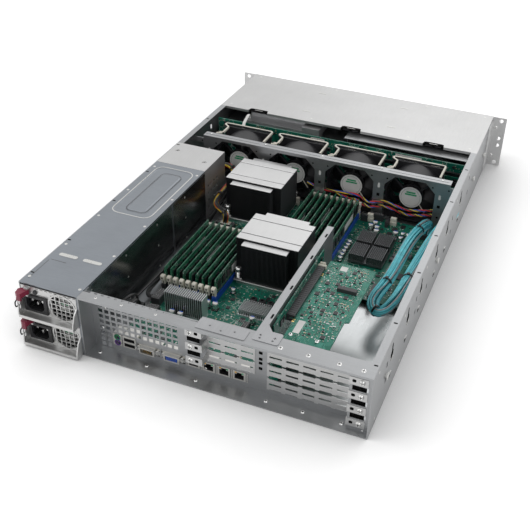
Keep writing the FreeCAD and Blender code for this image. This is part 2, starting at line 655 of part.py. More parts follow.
def fan_blade():
    """One twisted blade about the Y axis, root inside the hub, to be trimmed to the tip radius."""
    def chord(radius, rise, length, thickness):
        angle = math.radians(rise)
        ux, uy = math.cos(angle) * length / 2, math.sin(angle) * length / 2
        tx, ty = -math.sin(angle) * thickness / 2, math.cos(angle) * thickness / 2
        return [V(-ux - tx, -uy - ty, radius), V(ux - tx, uy - ty, radius),
                V(ux + tx, uy + ty, radius), V(-ux + tx, -uy + ty, radius)]
    middle = (HUB_R + ROTOR_TIP) / 2
    return stacked([chord(HUB_R - 2.5, 58, 19, 1.6), chord(middle, 49, 24, 1.4),
                    chord(ROTOR_TIP + 1, 40, 29, 1.1)])


def fan_rotor(index):
    """The hub, its seven twisted blades and the shaft that turns in the motor mount."""
    y1 = from_rear(WALL_FROM_REAR + RAIL_W) - SEAT
    hub = many_sided_bar(0, 0, -13, 13, HUB_R, 32)
    blades = []
    for k in range(BLADES):
        blade = fan_blade()
        blade.rotate(V(0, 0, 0), V(0, 1, 0), 360 / BLADES * k)
        blades.append(blade)
    rotor = fuse([hub] + blades).common(rod((0, -14, 0), ROTOR_TIP, 28, (0, 1, 0)))
    shaft = rod((0, 13, 0), 1.5, 4.4, (0, 1, 0))
    rotor = fuse([rotor, shaft])
    rotor.translate(V(fan_x(index), y1 - 6 - 13.5, FAN_Z))
    return rotor


# ================================================================ drive bays
def pin_and_lugs(x, y_face, way, z0, z1, radius):
    """An upright pin held off a face by a lug at each end; way is the side that it stands on."""
    y = y_face + way * PIN_STANDOFF
    lugs = [block(x - 2.2, x + 2.2, y_face - way * 0.5, y + way * 1.6, z, z + LUG_T)
            for z in (z0, z1 - LUG_T)]
    return lugs + [rod((x, y, z0), radius, z1 - z0, (0, 0, 1))]


def pinned_lever(x, y, z0, z1, radius, outline):
    """A lever of even height bored for an upright pin, its knuckle chamfered round the bore."""
    knuckle = [(x, y - 2.4), (x - 1.8, y - 1.8), (x - 2.4, y), (x - 1.8, y + 1.8), (x, y + 2.4)]
    bar = prism([(a, b, z0) for a, b in knuckle + outline], (0, 0, z1 - z0))
    return bar.cut(rod((x, y, z0 - 1), radius + PIN_PLAY, z1 - z0 + 2, (0, 0, 1)))


def row_z(row):
    return FLOOR + SEAT + row * (CARRIER_H + 2 * SEAT + CAGE_T + 0.4)


def column_x(column):
    return (1.5 - column) * CARRIER_PITCH


def top_shelf():
    """Top of the shelf over the carriers."""
    return row_z(2) - SEAT


def drive_cage():
    """The riveted cage: face frame, uprights and shelves around the carriers, and the cable roof."""
    y0 = FRONT
    y_in = y0 + CAGE_T
    depth_end = BACKPLANE_Y - 10.5
    side = column_x(0) + CARRIER_W / 2 + SEAT
    shelf_1, shelf_2 = row_z(1) - SEAT, top_shelf()
    upright_x = [-side - CAGE_T, side] + [k * CARRIER_PITCH - CAGE_T / 2 for k in (-1, 0, 1)]
    uprights = [block(x, x + CAGE_T, y_in, depth_end, low, high) for x in upright_x
                for low, high in ((FLOOR, shelf_1 - CAGE_T), (shelf_1, shelf_2 - CAGE_T))]
    shelves = [block(-side - CAGE_T, side + CAGE_T, y_in, depth_end, z - CAGE_T, z)
               for z in (shelf_1, shelf_2)]
    under_roof = BACKPLANE_TOP - CAGE_T
    roof = block(-207, -8, y_in, from_rear(542), under_roof, BACKPLANE_TOP)
    roof_legs = [block(x, x + CAGE_T, y_in, from_rear(560), shelf_2, under_roof) for x in (-207, -9)]
    board_y = y0 + SWITCH_BOARD_IN
    switch_board = block(-200, -160, board_y, board_y + 1.6, shelf_2, 78)
    return [cage_face(), *uprights, *shelves, roof, *roof_legs, switch_board]


def cage_face():
    """The face frame with its openings for the carriers, optical drive, buttons, sockets and vents."""
    y0 = FRONT
    through = (y0 - 1, y0 + CAGE_T + 1)
    face = block(-INNER + FIT, INNER - FIT, y0, y0 + CAGE_T, FLOOR, CEIL)
    holes = [block(column_x(column) - CARRIER_W / 2 - FIT, column_x(column) + CARRIER_W / 2 + FIT, *through,
                   row_z(row) - SEAT, row_z(row) + CARRIER_H + FIT) for row in (0, 1) for column in range(4)]
    odd_z = odd_base()
    holes.append(block(ODD_X - ODD_W / 2 - FIT, ODD_X + ODD_W / 2 + FIT, *through,
                       odd_z - FIT, odd_z + ODD_H + FIT))
    holes += [rod((x, y0 - 1, BUTTON_Z), BUTTON_R + 0.15, CAGE_T + 2, (0, 1, 0)) for x in (POWER_X, RESET_X)]
    holes += [block(x - 7, x + 7, *through, 70, 76) for x in (-60, -80)]
    holes += [block(x - 8, x + 8, *through, z, z + 3) for x in (0, -24, -104, -128) for z in (64, 70, 76)]
    return carve(face, holes)


def odd_base():
    return top_shelf() + ODD_STANDOFF


def optical_drive():
    """The slim drive's case, open at the front: base, side rails, drive unit behind the tray and lid."""
    z0 = odd_base()
    z1 = z0 + ODD_H
    x0, x1 = ODD_X - ODD_W / 2, ODD_X + ODD_W / 2
    y0 = FRONT + 1.5
    y1 = y0 + ODD_L
    tray_end = y0 + TRAY_L + 2
    base = block(x0, x1, y0, y1, z0, z0 + ODD_SKIN)
    feet = [block(x, x + 8, y, y + 14, top_shelf(), z0)
            for x in (x0 + 2, x1 - 10) for y in (y0 + 4, y0 + 130)]
    rails = [block(x, x + ODD_SKIN, y0, tray_end, z0 + ODD_SKIN, z1 - ODD_SKIN) for x in (x0, x1 - ODD_SKIN)]
    unit = block(x0, x1, tray_end, y1 - 22, z0 + ODD_SKIN, z1 - ODD_SKIN)
    adapter = block(x0, x0 + 30, y1 - 22, y1, z0 + ODD_SKIN, z1)
    socket = block(x0 + 30, x1, y1 - 22, y1, z0 + ODD_SKIN, z0 + 7)
    lid = block(x0, x1, y0, y1 - 22, z1 - ODD_SKIN, z1)
    return [fuse([base] + feet), *rails, unit, adapter, socket, lid]


def optical_tray():
    """The sliding tray with the disc recess, its hub and the drive's front bar with its button."""
    z0 = odd_base() + ODD_SKIN + SEAT
    y0 = FRONT - 1.5
    width = ODD_W - 2 * ODD_SKIN - 2 * SEAT
    height = ODD_H - 2 * ODD_SKIN - 2 * SEAT
    tray = block(ODD_X - width / 2, ODD_X + width / 2, y0, y0 + TRAY_L, z0, z0 + height)
    hollow = rod((ODD_X, y0 + 64, z0 + 3), 60.5, height, (0, 0, 1))
    hub = many_sided(ODD_X, y0 + 64, z0 + 2.5, z0 + height - 1, 7.5, 16)
    front = block(ODD_X - ODD_W / 2 + 0.2, ODD_X + ODD_W / 2 - 0.2, y0 - 3, y0,
                  odd_base(), odd_base() + ODD_H)
    eject = block(ODD_X - 50, ODD_X - 40, y0 - 3.8, y0 - 3, z0 + 3, z0 + 6)
    return fuse([tray.cut(hollow), hub, front, eject])


def button(x):
    """A round cap with a square collar behind the panel and a stem to its switch."""
    y0 = FRONT
    cap = rod((x, y0 - 2.5, BUTTON_Z), BUTTON_R, 2.5 + CAGE_T + 0.3, (0, 1, 0))
    back = y0 + CAGE_T + 0.3
    reach = BUTTON_R + 1.5
    collar = block(x - reach, x + reach, back, back + 1.5, BUTTON_Z - reach, BUTTON_Z + reach)
    stem = block(x - 1.5, x + 1.5, back + 1.5, y0 + SWITCH_BOARD_IN - BUTTON_TRAVEL - 0.6,
                 BUTTON_Z - 1.5, BUTTON_Z + 1.5)
    return fuse([cap, collar, stem])


def drive_backplane():
    """The upright board behind the drives with its drive sockets and airflow windows."""
    y0 = BACKPLANE_Y
    y1 = y0 + BACKPLANE_T
    board = block(-208, 208, y0, y1, FLOOR + 0.3, BACKPLANE_TOP)
    windows = []
    sockets = []
    for column in range(4):
        x = column_x(column)
        windows.append(block(x - 44, x + 20, y0 - 1, y1 + 1, 57, 66))
        for row in (0, 1):
            z = row_z(row)
            windows.append(block(x - 44, x + 2, y0 - 1, y1 + 1, z + 9, z + 21))
            sockets.append(block(x + 8, x + 44, y0 - DRIVE_SOCKET_D, y0, z + 3, z + 9))
    plugs = [block(x - 8, x + 8, y1, y1 + 8, 68, 77) for x in (-30, -62, -165)]
    power = [block(x - 11, x + 11, y1, y1 + 11, 12, 22) for x in (60, 110)]
    return [carve(board, windows)] + sockets + plugs + power


def carrier(row, column):
    """A drive in its carrier: vented face, two rails and the drive itself."""
    x, z = column_x(column), row_z(row)
    y0 = FRONT - BEZEL_PROUD
    w = CARRIER_W / 2
    face = block(x - w, x + w, y0, y0 + BEZEL_D, z, z + CARRIER_H)
    hollow = block(x - w + 1.6, x + w - 1.6, y0 + 2, y0 + BEZEL_D + 1, z + 1.6, z + CARRIER_H - 1.6)
    vents = [block(x - w + 14, x + w - 10, y0 - 1, y0 + 3, low, low + 2.6)
             for low in (z + 2.4, z + CARRIER_H - 5.0)]
    rails = [block(x + s * w, x + s * (w - 1.4), y0 + BEZEL_D, y0 + BEZEL_D + DRIVE_L + 6, z, z + 18)
             for s in (-1, 1)]
    drive_y = y0 + BEZEL_D + DRIVE_BEHIND_BEZEL
    drive = block(x - DRIVE_W / 2, x + DRIVE_W / 2, drive_y, drive_y + DRIVE_L, z + 0.4, z + DRIVE_H)
    drive = drive.makeChamfer(1.5, [e for e in drive.Edges
                                    if abs(e.Vertexes[0].X - e.Vertexes[-1].X) < 0.1
                                    and abs(e.Vertexes[0].Y - e.Vertexes[-1].Y) < 0.1])
    lever_z = z + (CARRIER_H - LEVER_H) / 2
    knuckle = pin_and_lugs(x - w + 4, y0, -1, lever_z - 3, lever_z + LEVER_H + 3, LEVER_PIN_R)
    return [fuse([carve(face, [hollow] + vents)] + rails + knuckle), drive]


def carrier_lever(row, column):
    """The release lever across the face, turning on an upright pin at one end."""
    x, z = column_x(column), row_z(row)
    pivot_x, pivot_y = x - CARRIER_W / 2 + 4, FRONT - BEZEL_PROUD - PIN_STANDOFF
    z0 = z + (CARRIER_H - LEVER_H) / 2
    return pinned_lever(pivot_x, pivot_y, z0, z0 + LEVER_H, LEVER_PIN_R,
                        [(x + 34, pivot_y + 2.4), (x + 40, pivot_y + 0.5), (x + 40, pivot_y - 1.0),
                         (x + 30, pivot_y - 2.4)])


# ================================================================ main board
def hex_post(x, y, z0, z1):
    """A hexagonal standoff, five millimetres across its flats."""
    return many_sided(x, y, z0, z1, 2.5 / math.cos(math.pi / 6), 6)


def motherboard():
    """The board, stepped around the card space, on its standoffs."""
    z0 = BOARD_TOP - BOARD_T
    rear, front, step = from_rear(BOARD_REAR), from_rear(BOARD_FRONT), from_rear(BOARD_STEP)
    outline = [(BOARD_LEFT, rear, z0), (BOARD_LEFT, front, z0), (BOARD_RIGHT, front, z0),
               (BOARD_RIGHT, step, z0), (BOARD_STEP_X, step, z0), (BOARD_STEP_X, rear, z0)]
    board = prism(outline, (0, 0, BOARD_T))
    posts = [hex_post(x, from_rear(d), FLOOR, z0)
             for x, d in ((106, 34), (106, 138), (106, 300), (106, 433), (-10, 36), (-8, 194), (14, 300),
                          (14, 433), (-88, 50), (-88, 190), (-88, 300), (-88, 433), (-188, 240), (-188, 433))]
    return [board] + posts


def on_board(x, distance, width, depth, height, base=BOARD_TOP):
    y = from_rear(distance)
    return block(x - width / 2, x + width / 2, y - depth / 2, y + depth / 2, base, base + height)


def board_components():
    """Chips, coils, headers and cans standing on the board."""
    chips = [(-20, 98, 16, 16, 1.8), (-55, 120, 20, 20, 2.2), (60, 142, 9, 9, 1.5), (-60, 212, 12, 12, 1.5),
             (-78, 250, 14, 14, 1.6), (-170, 300, 14, 14, 1.6), (-70, 165, 10, 14, 2.0)]
    headers = [(-24, 112, 8, 12, 8), (103, 122, 12, 22, 12), (100, 98, 18, 9, 9), (-182, 416, 14, 20, 8),
               (-84, 425, 10, 6, 11), (-100, 434, 22, 5, 11), (98, 316, 28, 9, 12), (-120, 425, 5, 14, 9),
               (-150, 245, 6, 30, 9), (-160, 385, 8, 22, 7)]
    cans = [(71, 97, 12), (59, 97, 12), (39, 134, 11), (28, 134, 11), (-27, 126, 10), (-100, 404, 9),
            (-110, 402, 9), (-104, 414, 9), (-112, 392, 9), (-140, 398, 9)]
    shapes = [on_board(*item) for item in chips + headers]
    shapes += [many_sided(x, from_rear(d), BOARD_TOP, BOARD_TOP + h, 4.0, 12) for x, d, h in cans]
    return shapes


def port_connectors():
    """The sockets along the board's rear edge, standing a little through the panel."""
    nose = from_rear(RECESS) + 0.8
    y_back = nose - 22
    shapes = []
    lower_usb = block(98.2, 80.6, nose - 20, nose, BOARD_TOP, 26.2)
    cavities = [block(96.6, 82.2, nose - 12, nose + 1, z, z + 5.2) for z in (10.6, 18.6)]
    shapes.append(carve(lower_usb, cavities))
    ps2 = block(111.6, 99.6, nose - 16, nose, BOARD_TOP, 26.2)
    shapes.append(carve(ps2, [rod((105.6, nose + 1, z), 4.6, 9, (0, -1, 0)) for z in (13.4, 21.6)]))
    for x_mid, width, inner in ((64.0, 29.8, 16.8), (30.8, 31.4, 16.8)):
        body = block(x_mid + width / 2, x_mid - width / 2, y_back + 8, nose - 2.4, BOARD_TOP, 20.6)
        shell = block(x_mid + inner / 2 + 1.6, x_mid - inner / 2 - 1.6, nose - 2.4, nose + 4.4, 10.6, 19.4)
        mouth = block(x_mid + inner / 2, x_mid - inner / 2, nose - 1, nose + 5.4, 12.0, 18.0)
        studs = [many_sided_bar(x_mid + s * 12.5, 15, nose - 2.4, nose + 1.8, 2.6, 6) for s in (-1, 1)]
        shapes.append(carve(fuse([body, shell] + studs), [mouth]))
    for index in range(4):
        x = LAN_X - index * LAN_PITCH
        body = block(x + LAN_W / 2, x - LAN_W / 2, nose - 21, nose, BOARD_TOP, BOARD_TOP + LAN_H)
        mouth = block(x - 5.9, x + 5.9, nose - 14, nose + 1, BOARD_TOP + 1.8, BOARD_TOP + 9.2)
        clip = block(x - 3.2, x + 3.2, nose - 14, nose + 1, BOARD_TOP + 9.1, BOARD_TOP + 11.6)
        shapes.append(carve(body, [mouth, clip]))
    return shapes


def cpu_heatsink(x, distance):
    """A fin stack folded shut along its top, on a base plate, notched at its corners for the screws."""
    y = from_rear(distance)
    w, l = SINK_W / 2, SINK_L / 2
    notch = 12.0
    main = block(x - w, x + w, y - l + notch, y + l - notch, SINK_BASE, SINK_TOP)
    lips = block(x - w + notch, x + w - notch, y - l, y + l, SINK_BASE, SINK_LIP_TOP)
    base = block(x - w, x + w, y - l, y + l, SINK_SEAT, SINK_BASE + 2)
    count = int((SINK_W - 3) // FIN_PITCH)
    first = x - (count - 1) * FIN_PITCH / 2
    channels = [block(first + k * FIN_PITCH - FIN_GAP / 2, first + k * FIN_PITCH + FIN_GAP / 2,
                      y - l - 1, y + l + 1, SINK_BASE + 4, SINK_LIP_TOP - 0.6) for k in range(count)]
    grooves = [block(x - w - 1, x + w + 1, y + s * 19 - 1, y + s * 19 + 1, SINK_TOP - 1.0, SINK_TOP + 1)
               for s in (-1, 1)]
    return carve(fuse([main, lips, base]), channels + grooves)


def heatsink_mounts():
    """Under each cooler the processor and its load frame, and the four spring screws."""
    shapes = []
    for x, distance in SINKS:
        y = from_rear(distance)
        frame = block(x - 40, x + 40, y - 44, y + 44, BOARD_TOP, BOARD_TOP + LOAD_FRAME_T)
        window = block(x - 24, x + 24, y - 26, y + 26, BOARD_TOP - 1, SINK_SEAT)
        shapes.append(frame.cut(window))
        shapes.append(block(x - 22, x + 22, y - 24, y + 24, BOARD_TOP, SINK_SEAT))
        for sx in (-1, 1):
            for sy in (-1, 1):
                px, py = x + sx * (SINK_W / 2 - 5.5), y + sy * (SINK_L / 2 - 5.5)
                base_top = SINK_BASE + 2
                sleeve = hex_post(px, py, base_top, base_top + 10)
                head = many_sided(px, py, base_top + 10, base_top + 13, 4.0, 12)
                shapes.append(fuse([sleeve, head]))
    return shapes


def memory_places():
    """Centre X and centre Y of every memory socket."""
    places = []
    for first_x, rear_end in BANKS:
        for k in range(MODULES_PER_BANK):
            places.append((first_x - DIMM_T / 2 - k * DIMM_PITCH, from_rear(rear_end + DIMM_L / 2)))
    return places


def memory_sockets():
    sockets = []
    for x, y in memory_places():
        body = block(x - SLOT_W / 2, x + SLOT_W / 2, y - SLOT_L / 2, y + SLOT_L / 2, BOARD_TOP, SLOT_TOP)
        groove = block(x - DIMM_T / 2 - 0.15, x + DIMM_T / 2 + 0.15, y - DIMM_L / 2 - 0.3,
                       y + DIMM_L / 2 + 0.3, DIMM_SEAT - 0.01, SLOT_TOP + 1)
        sockets.append(body.cut(groove))
    return sockets


def memory_latches():
    """A latch at each end of each socket, its thumb pad leaning outwards."""
    latches = []
    for x, y in memory_places():
        for side in (-1, 1):
            inner = y + side * (DIMM_L / 2 + 0.4)
            outline = [(x - 2.6, inner, SLOT_TOP), (x - 2.6, inner, LATCH_TOP - 3),
                       (x - 2.6, inner + side * 2.5, LATCH_TOP), (x - 2.6, inner + side * 7, LATCH_TOP - 1),
                       (x - 2.6, inner + side * 7, LATCH_TOP - 5), (x - 2.6, inner + side * 4, SLOT_TOP)]
            latches.append(prism(outline, (5.2, 0, 0)))
    return latches


def memory_modules():
    """Each module with its end notches and the key in its contact edge."""
    modules = []
    for x, y in memory_places():
        board = block(x - DIMM_T / 2, x + DIMM_T / 2, y - DIMM_L / 2, y + DIMM_L / 2, DIMM_SEAT,
                      DIMM_SEAT + DIMM_H)
        cuts = [block(x - 2, x + 2, y + s * DIMM_L / 2 - 1.5, y + s * DIMM_L / 2 + 1.5, DIMM_SEAT + 14,
                      DIMM_SEAT + 17) for s in (-1, 1)]
        modules.append(carve(board, cuts))
    return modules


def comb(x0, x1, y0, y1, z0, z1, pitch, gap):
    """A heatsink with upright fins across X on a thin base."""
    body = block(x0, x1, y0, y1, z0, z1)
    count = int((abs(x1 - x0) - gap) // pitch)
    first = min(x0, x1) + (abs(x1 - x0) - (count - 1) * pitch) / 2
    cuts = [block(first + k * pitch - gap / 2, first + k * pitch + gap / 2, y0 + 1, y1 - 1, z0 + 2.5, z1 + 1)
            for k in range(count)]
    return carve(body, cuts)


def chipset_heatsinks():
    """The big quartered sink, the tall upright one by the sockets and the low one."""
    y_rear, y_front = from_rear(306), from_rear(376)
    big = comb(-95, -145, y_rear, y_front, BOARD_TOP + 2, 25, 4.2, 1.8)
    cross = block(-94, -146, from_rear(342.5), from_rear(339.5), BOARD_TOP + 5, 26)
    tall = comb(84, 31, from_rear(103), from_rear(119), BOARD_TOP, 43, 3.0, 1.7)
    low = comb(-3, -42, from_rear(134), from_rear(158), BOARD_TOP, 20, 3.0, 1.5)
    chip = block(-100, -140, from_rear(321), from_rear(361), BOARD_TOP, BOARD_TOP + 2)
    return [big.cut(cross), chip, tall, low]


# ================================================================ riser and card
def riser_bracket():
    """The bar over the riser with its rounded foot screwed to the rear bridge."""
    top, under = CHASSIS_H + BRIDGE_PLATE_T, CHASSIS_H
    bar_y = from_rear(264)
    foot = rounded_plate(-107, -76, from_rear(30), from_rear(10), under, top, 3.0)
    bar = block(-76, -85, bar_y, from_rear(28), under, top)
    web = prism([(-85, from_rear(30), under), (-93, from_rear(30), under), (-85, from_rear(40), under)],
                (0, 0, BRIDGE_PLATE_T))
    hanger = block(-84, RISER_FACE, bar_y, from_rear(27), BOARD_TOP + 22, under)
    window = block(-80, -90, from_rear(230), from_rear(60), BOARD_TOP + 36, 76)
    plate = rounded_plate(-70, -10, from_rear(22), from_rear(4), under, top, 2.0)
    return [fuse([foot, bar, web, hanger.cut(window)]), plate]


def riser_card():
    """The riser board in its socket and the card slots it carries."""
    x1, x0 = RISER_X + RISER_T / 2, RISER_X - RISER_T / 2
    y1, y0 = from_rear(46), from_rear(216)
    board = block(x0, x1, y0, y1, BOARD_TOP + 3, 84)
    socket = block(RISER_X - 4, RISER_X + 4, y0 + 8, y1 - 20, BOARD_TOP, BOARD_TOP + 9)
    groove = block(x0 - 0.1, x1 + 0.1, y0, y1, BOARD_TOP + 2.9, BOARD_TOP + 10)
    connector = block(x0, x0 - 10.5, from_rear(190), from_rear(83), CARD_Z - 3.7, CARD_Z + 5.3)
    mouth = block(x0 - 4, x0 - 11, from_rear(188), from_rear(85), CARD_Z - 0.1, CARD_Z + 1.7)
    spacers = [block(x1, RISER_FACE, y - 4, y + 4, 78, 83) for y in (y0 + 20, y1 - 20)]
    return [board, socket.cut(groove), connector.cut(mouth)] + spacers


def expansion_card():
    """The low-profile card lying over the card space, its edge in the riser's slot."""
    x_edge = RISER_X - RISER_T / 2 - 4.2
    x_in = x_edge - 6.4
    x_out = RISER_X - CARD_W - 3
    rear, front = from_rear(CARD_REAR), from_rear(CARD_REAR + CARD_L)
    z0 = CARD_Z
    outline = [(x_in, rear, z0), (x_in, from_rear(86.5), z0), (x_edge, from_rear(86.5), z0),
               (x_edge, from_rear(174.5), z0), (x_in, from_rear(174.5), z0), (x_in, front, z0),
               (x_out - 5, front, z0), (x_out - 5, from_rear(100), z0), (x_out, from_rear(98), z0),
               (x_out, rear, z0)]
    board = prism(outline, (0, 0, 1.6))
    chip = block(-115, -137, from_rear(140), from_rear(118), z0 - 3, z0)
    header = block(-128, -152, from_rear(158), from_rear(152), z0 + 1.6, z0 + 7)
    bracket = block(-95, x_out, from_rear(RECESS) - SHEET - 1.8, from_rear(RECESS) - SHEET - 0.9,
                    z0 - 4, z0 + 13)
    ears = [block(x, x - 8, rear - 8, from_rear(RECESS) - SHEET - 1.8, z0 + 1.6, z0 + 2.5)
            for x in (-106, -138)]
    return [board, chip, header, fuse([bracket] + ears)]


# ================================================================ cables
def route(points):
    return [(x, from_rear(d), z) for x, d, z in points]


def data_cables():
    """The bundle of drive cables, looped back beside the side wall."""
    bundle = route([(-182, 416, 17.1), (-182, 416, 36), (-172, 350, 42), (-169, 258, 37), (-162, 196, 34),
                    (-176, 178, 33), (-189, 212, 35), (-194, 300, 38), (-200, 388, 38), (-210.3, 434, 37),
                    (-210.3, 470, 35), (-196, 510, 30)])
    return [tube(bundle, 6.0)]


def wire_harness():
    """Supply leads to the board, the lead beside the cage and the fan leads along the wall."""
    socket = PSU_D + DISTRIBUTOR_GAP + 0.2
    leads = route([(165, socket, 50), (165, 416, 50), (144, 428, 53), (125, 410, 48), (125, 365, 43),
                   (122, 332, 38), (98, 316, 37), (98, 316, 21.1)])
    lead = route([(155, socket, 36), (155, 411, 36), (136, 410, 28), (132, 352, 11), (130, 280, 8),
                  (128, 205, 8), (126, 145, 11), (120, 122, 13), (109.1, 122, 13)])
    against = WALL_FROM_REAR - FAN_LEAD_R - 0.1
    fans = route([(18, against, 48), (-22, against, 41), (-62, against, 40), (-100, against, 43),
                  (-140, against, 38), (-184, against, 46)])
    return [tube(leads, 5.0), tube(lead, 3.0), tube(fans, FAN_LEAD_R)]


# ================================================================ all sub-parts
def all_nodes():
    nodes = {
        "chassis_pan": chassis_pan(),
        "drive_bay_cover": drive_bay_cover(),
        "rack_ears": rack_ears(),
        "rear_wall": rear_wall(),
        "slot_covers": slot_covers(),
        "psu_cage": psu_cage(),
        "power_distributor": power_distributor(),
        "fan_wall": fan_wall(),
        "drive_cage": drive_cage(),
        "drive_backplane": drive_backplane(),
        "optical_drive": optical_drive(),
        "optical_tray": optical_tray(),
        "power_button": button(POWER_X),
        "reset_button": button(RESET_X),
        "motherboard": motherboard(),
        "board_components": board_components(),
        "port_connectors": port_connectors(),
        "cpu_heatsinks": [cpu_heatsink(*place) for place in SINKS],
        "heatsink_mounts": heatsink_mounts(),
        "memory_sockets": memory_sockets(),
        "memory_latches": memory_latches(),
        "memory_modules": memory_modules(),
        "chipset_heatsinks": chipset_heatsinks(),
        "riser_bracket": riser_bracket(),
        "riser_card": riser_card(),
        "expansion_card": expansion_card(),
        "data_cables": data_cables(),
        "wire_harness": wire_harness(),
    }
    for index in range(2):
        name = f"psu_{index + 1}"
        nodes[f"{name}_module"] = psu_module(index)
        nodes[f"{name}_fan"] = psu_fan(index)
        nodes[f"{name}_latch"] = psu_latch(index)
        nodes[f"{name}_bail"] = psu_bail(index)
    for index in range(4):
        nodes[f"fan_{index + 1}_module"] = fan_module(index)
        nodes[f"fan_{index + 1}_rotor"] = fan_rotor(index)
    for row in range(2):
        for column in range(4):
            number = row * 4 + column + 1
            nodes[f"carrier_{number}"] = carrier(row, column)
            nodes[f"carrier_{number}_lever"] = carrier_lever(row, column)
    return nodes


def main():
    os.makedirs("parts", exist_ok=True)
    for name, shape in all_nodes().items():
        if isinstance(shape, list):
            shape = Part.makeCompound(shape)
        shape.exportStep(f"parts/{name}.step")


main()
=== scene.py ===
"""The looks of a 2U rack server with its rear top cover off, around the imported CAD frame.

Places are in millimetres of the row frame: +X right from the front, +Y to the rear, +Z up.
Distances called 'd' run forward from the chassis's rear edge."""
import json
import math
import random

import bmesh
import bpy
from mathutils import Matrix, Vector

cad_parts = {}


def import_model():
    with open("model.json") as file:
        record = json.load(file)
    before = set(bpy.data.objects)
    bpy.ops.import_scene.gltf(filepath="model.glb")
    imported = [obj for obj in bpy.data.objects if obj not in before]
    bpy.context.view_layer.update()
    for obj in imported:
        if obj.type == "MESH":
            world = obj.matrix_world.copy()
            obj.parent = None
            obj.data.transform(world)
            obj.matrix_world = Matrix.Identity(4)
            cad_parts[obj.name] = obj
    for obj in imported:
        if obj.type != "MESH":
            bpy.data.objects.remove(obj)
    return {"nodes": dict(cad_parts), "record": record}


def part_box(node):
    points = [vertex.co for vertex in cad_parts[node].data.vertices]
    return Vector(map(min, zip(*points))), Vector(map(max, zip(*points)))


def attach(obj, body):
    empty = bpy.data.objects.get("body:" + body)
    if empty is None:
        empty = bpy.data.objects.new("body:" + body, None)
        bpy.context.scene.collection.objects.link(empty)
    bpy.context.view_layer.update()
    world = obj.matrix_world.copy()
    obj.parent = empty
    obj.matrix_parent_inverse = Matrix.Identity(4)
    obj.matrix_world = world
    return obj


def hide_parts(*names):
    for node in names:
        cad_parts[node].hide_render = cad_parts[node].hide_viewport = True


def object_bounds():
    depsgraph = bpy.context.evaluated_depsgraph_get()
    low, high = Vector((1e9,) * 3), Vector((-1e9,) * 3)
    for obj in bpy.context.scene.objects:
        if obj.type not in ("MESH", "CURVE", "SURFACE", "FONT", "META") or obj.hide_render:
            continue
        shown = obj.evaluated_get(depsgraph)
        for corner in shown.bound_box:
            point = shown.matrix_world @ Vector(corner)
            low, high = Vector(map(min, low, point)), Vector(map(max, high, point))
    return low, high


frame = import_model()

cad_box = [list(corner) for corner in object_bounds()]
random.seed(7)

MM = 0.001


def span(node):
    """A node's lowest and highest corner in millimetres."""
    low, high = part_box(node)
    return low / MM, high / MM


PAN_LOW, PAN_HIGH = span("chassis_pan")
REAR = PAN_HIGH.y
FRONT = PAN_LOW.y
HALF_W = PAN_HIGH.x
TOP = PAN_HIGH.z
CASE_TOP = cad_box[1][2] / MM
SHEET = 1.2                # thickness of the chassis sheet
FLOOR_TOP = PAN_LOW.z + SHEET
FILM = 0.06                # thickness of a painted mark
FAN_NUMBERS = (1, 2, 3, 4)


def from_rear(distance):
    """The Y of a place that lies the given distance in front of the rear edge."""
    return REAR - distance


def islands(node):
    """The (low, high) corners of each separate solid of a node, in millimetres, sorted by place."""
    mesh = frame["nodes"][node].data
    keys = {}
    index = []
    for vertex in mesh.vertices:
        key = tuple(round(c / MM, 2) for c in vertex.co)
        index.append(keys.setdefault(key, len(keys)))
    parent = list(range(len(keys)))

    def root(i):
        """The group that a point belongs to."""
        while parent[i] != i:
            parent[i] = parent[parent[i]]
            i = parent[i]
        return i

    for polygon in mesh.polygons:
        first = root(index[polygon.vertices[0]])
        for v in polygon.vertices[1:]:
            parent[root(index[v])] = first
            first = root(first)
    groups = {}
    for key, i in keys.items():
        groups.setdefault(root(i), []).append(key)
    boxes = [(Vector([min(p[a] for p in points) for a in range(3)]),
              Vector([max(p[a] for p in points) for a in range(3)])) for points in groups.values()]
    return sorted(boxes, key=lambda b: (b[0].x, b[0].y, b[0].z))


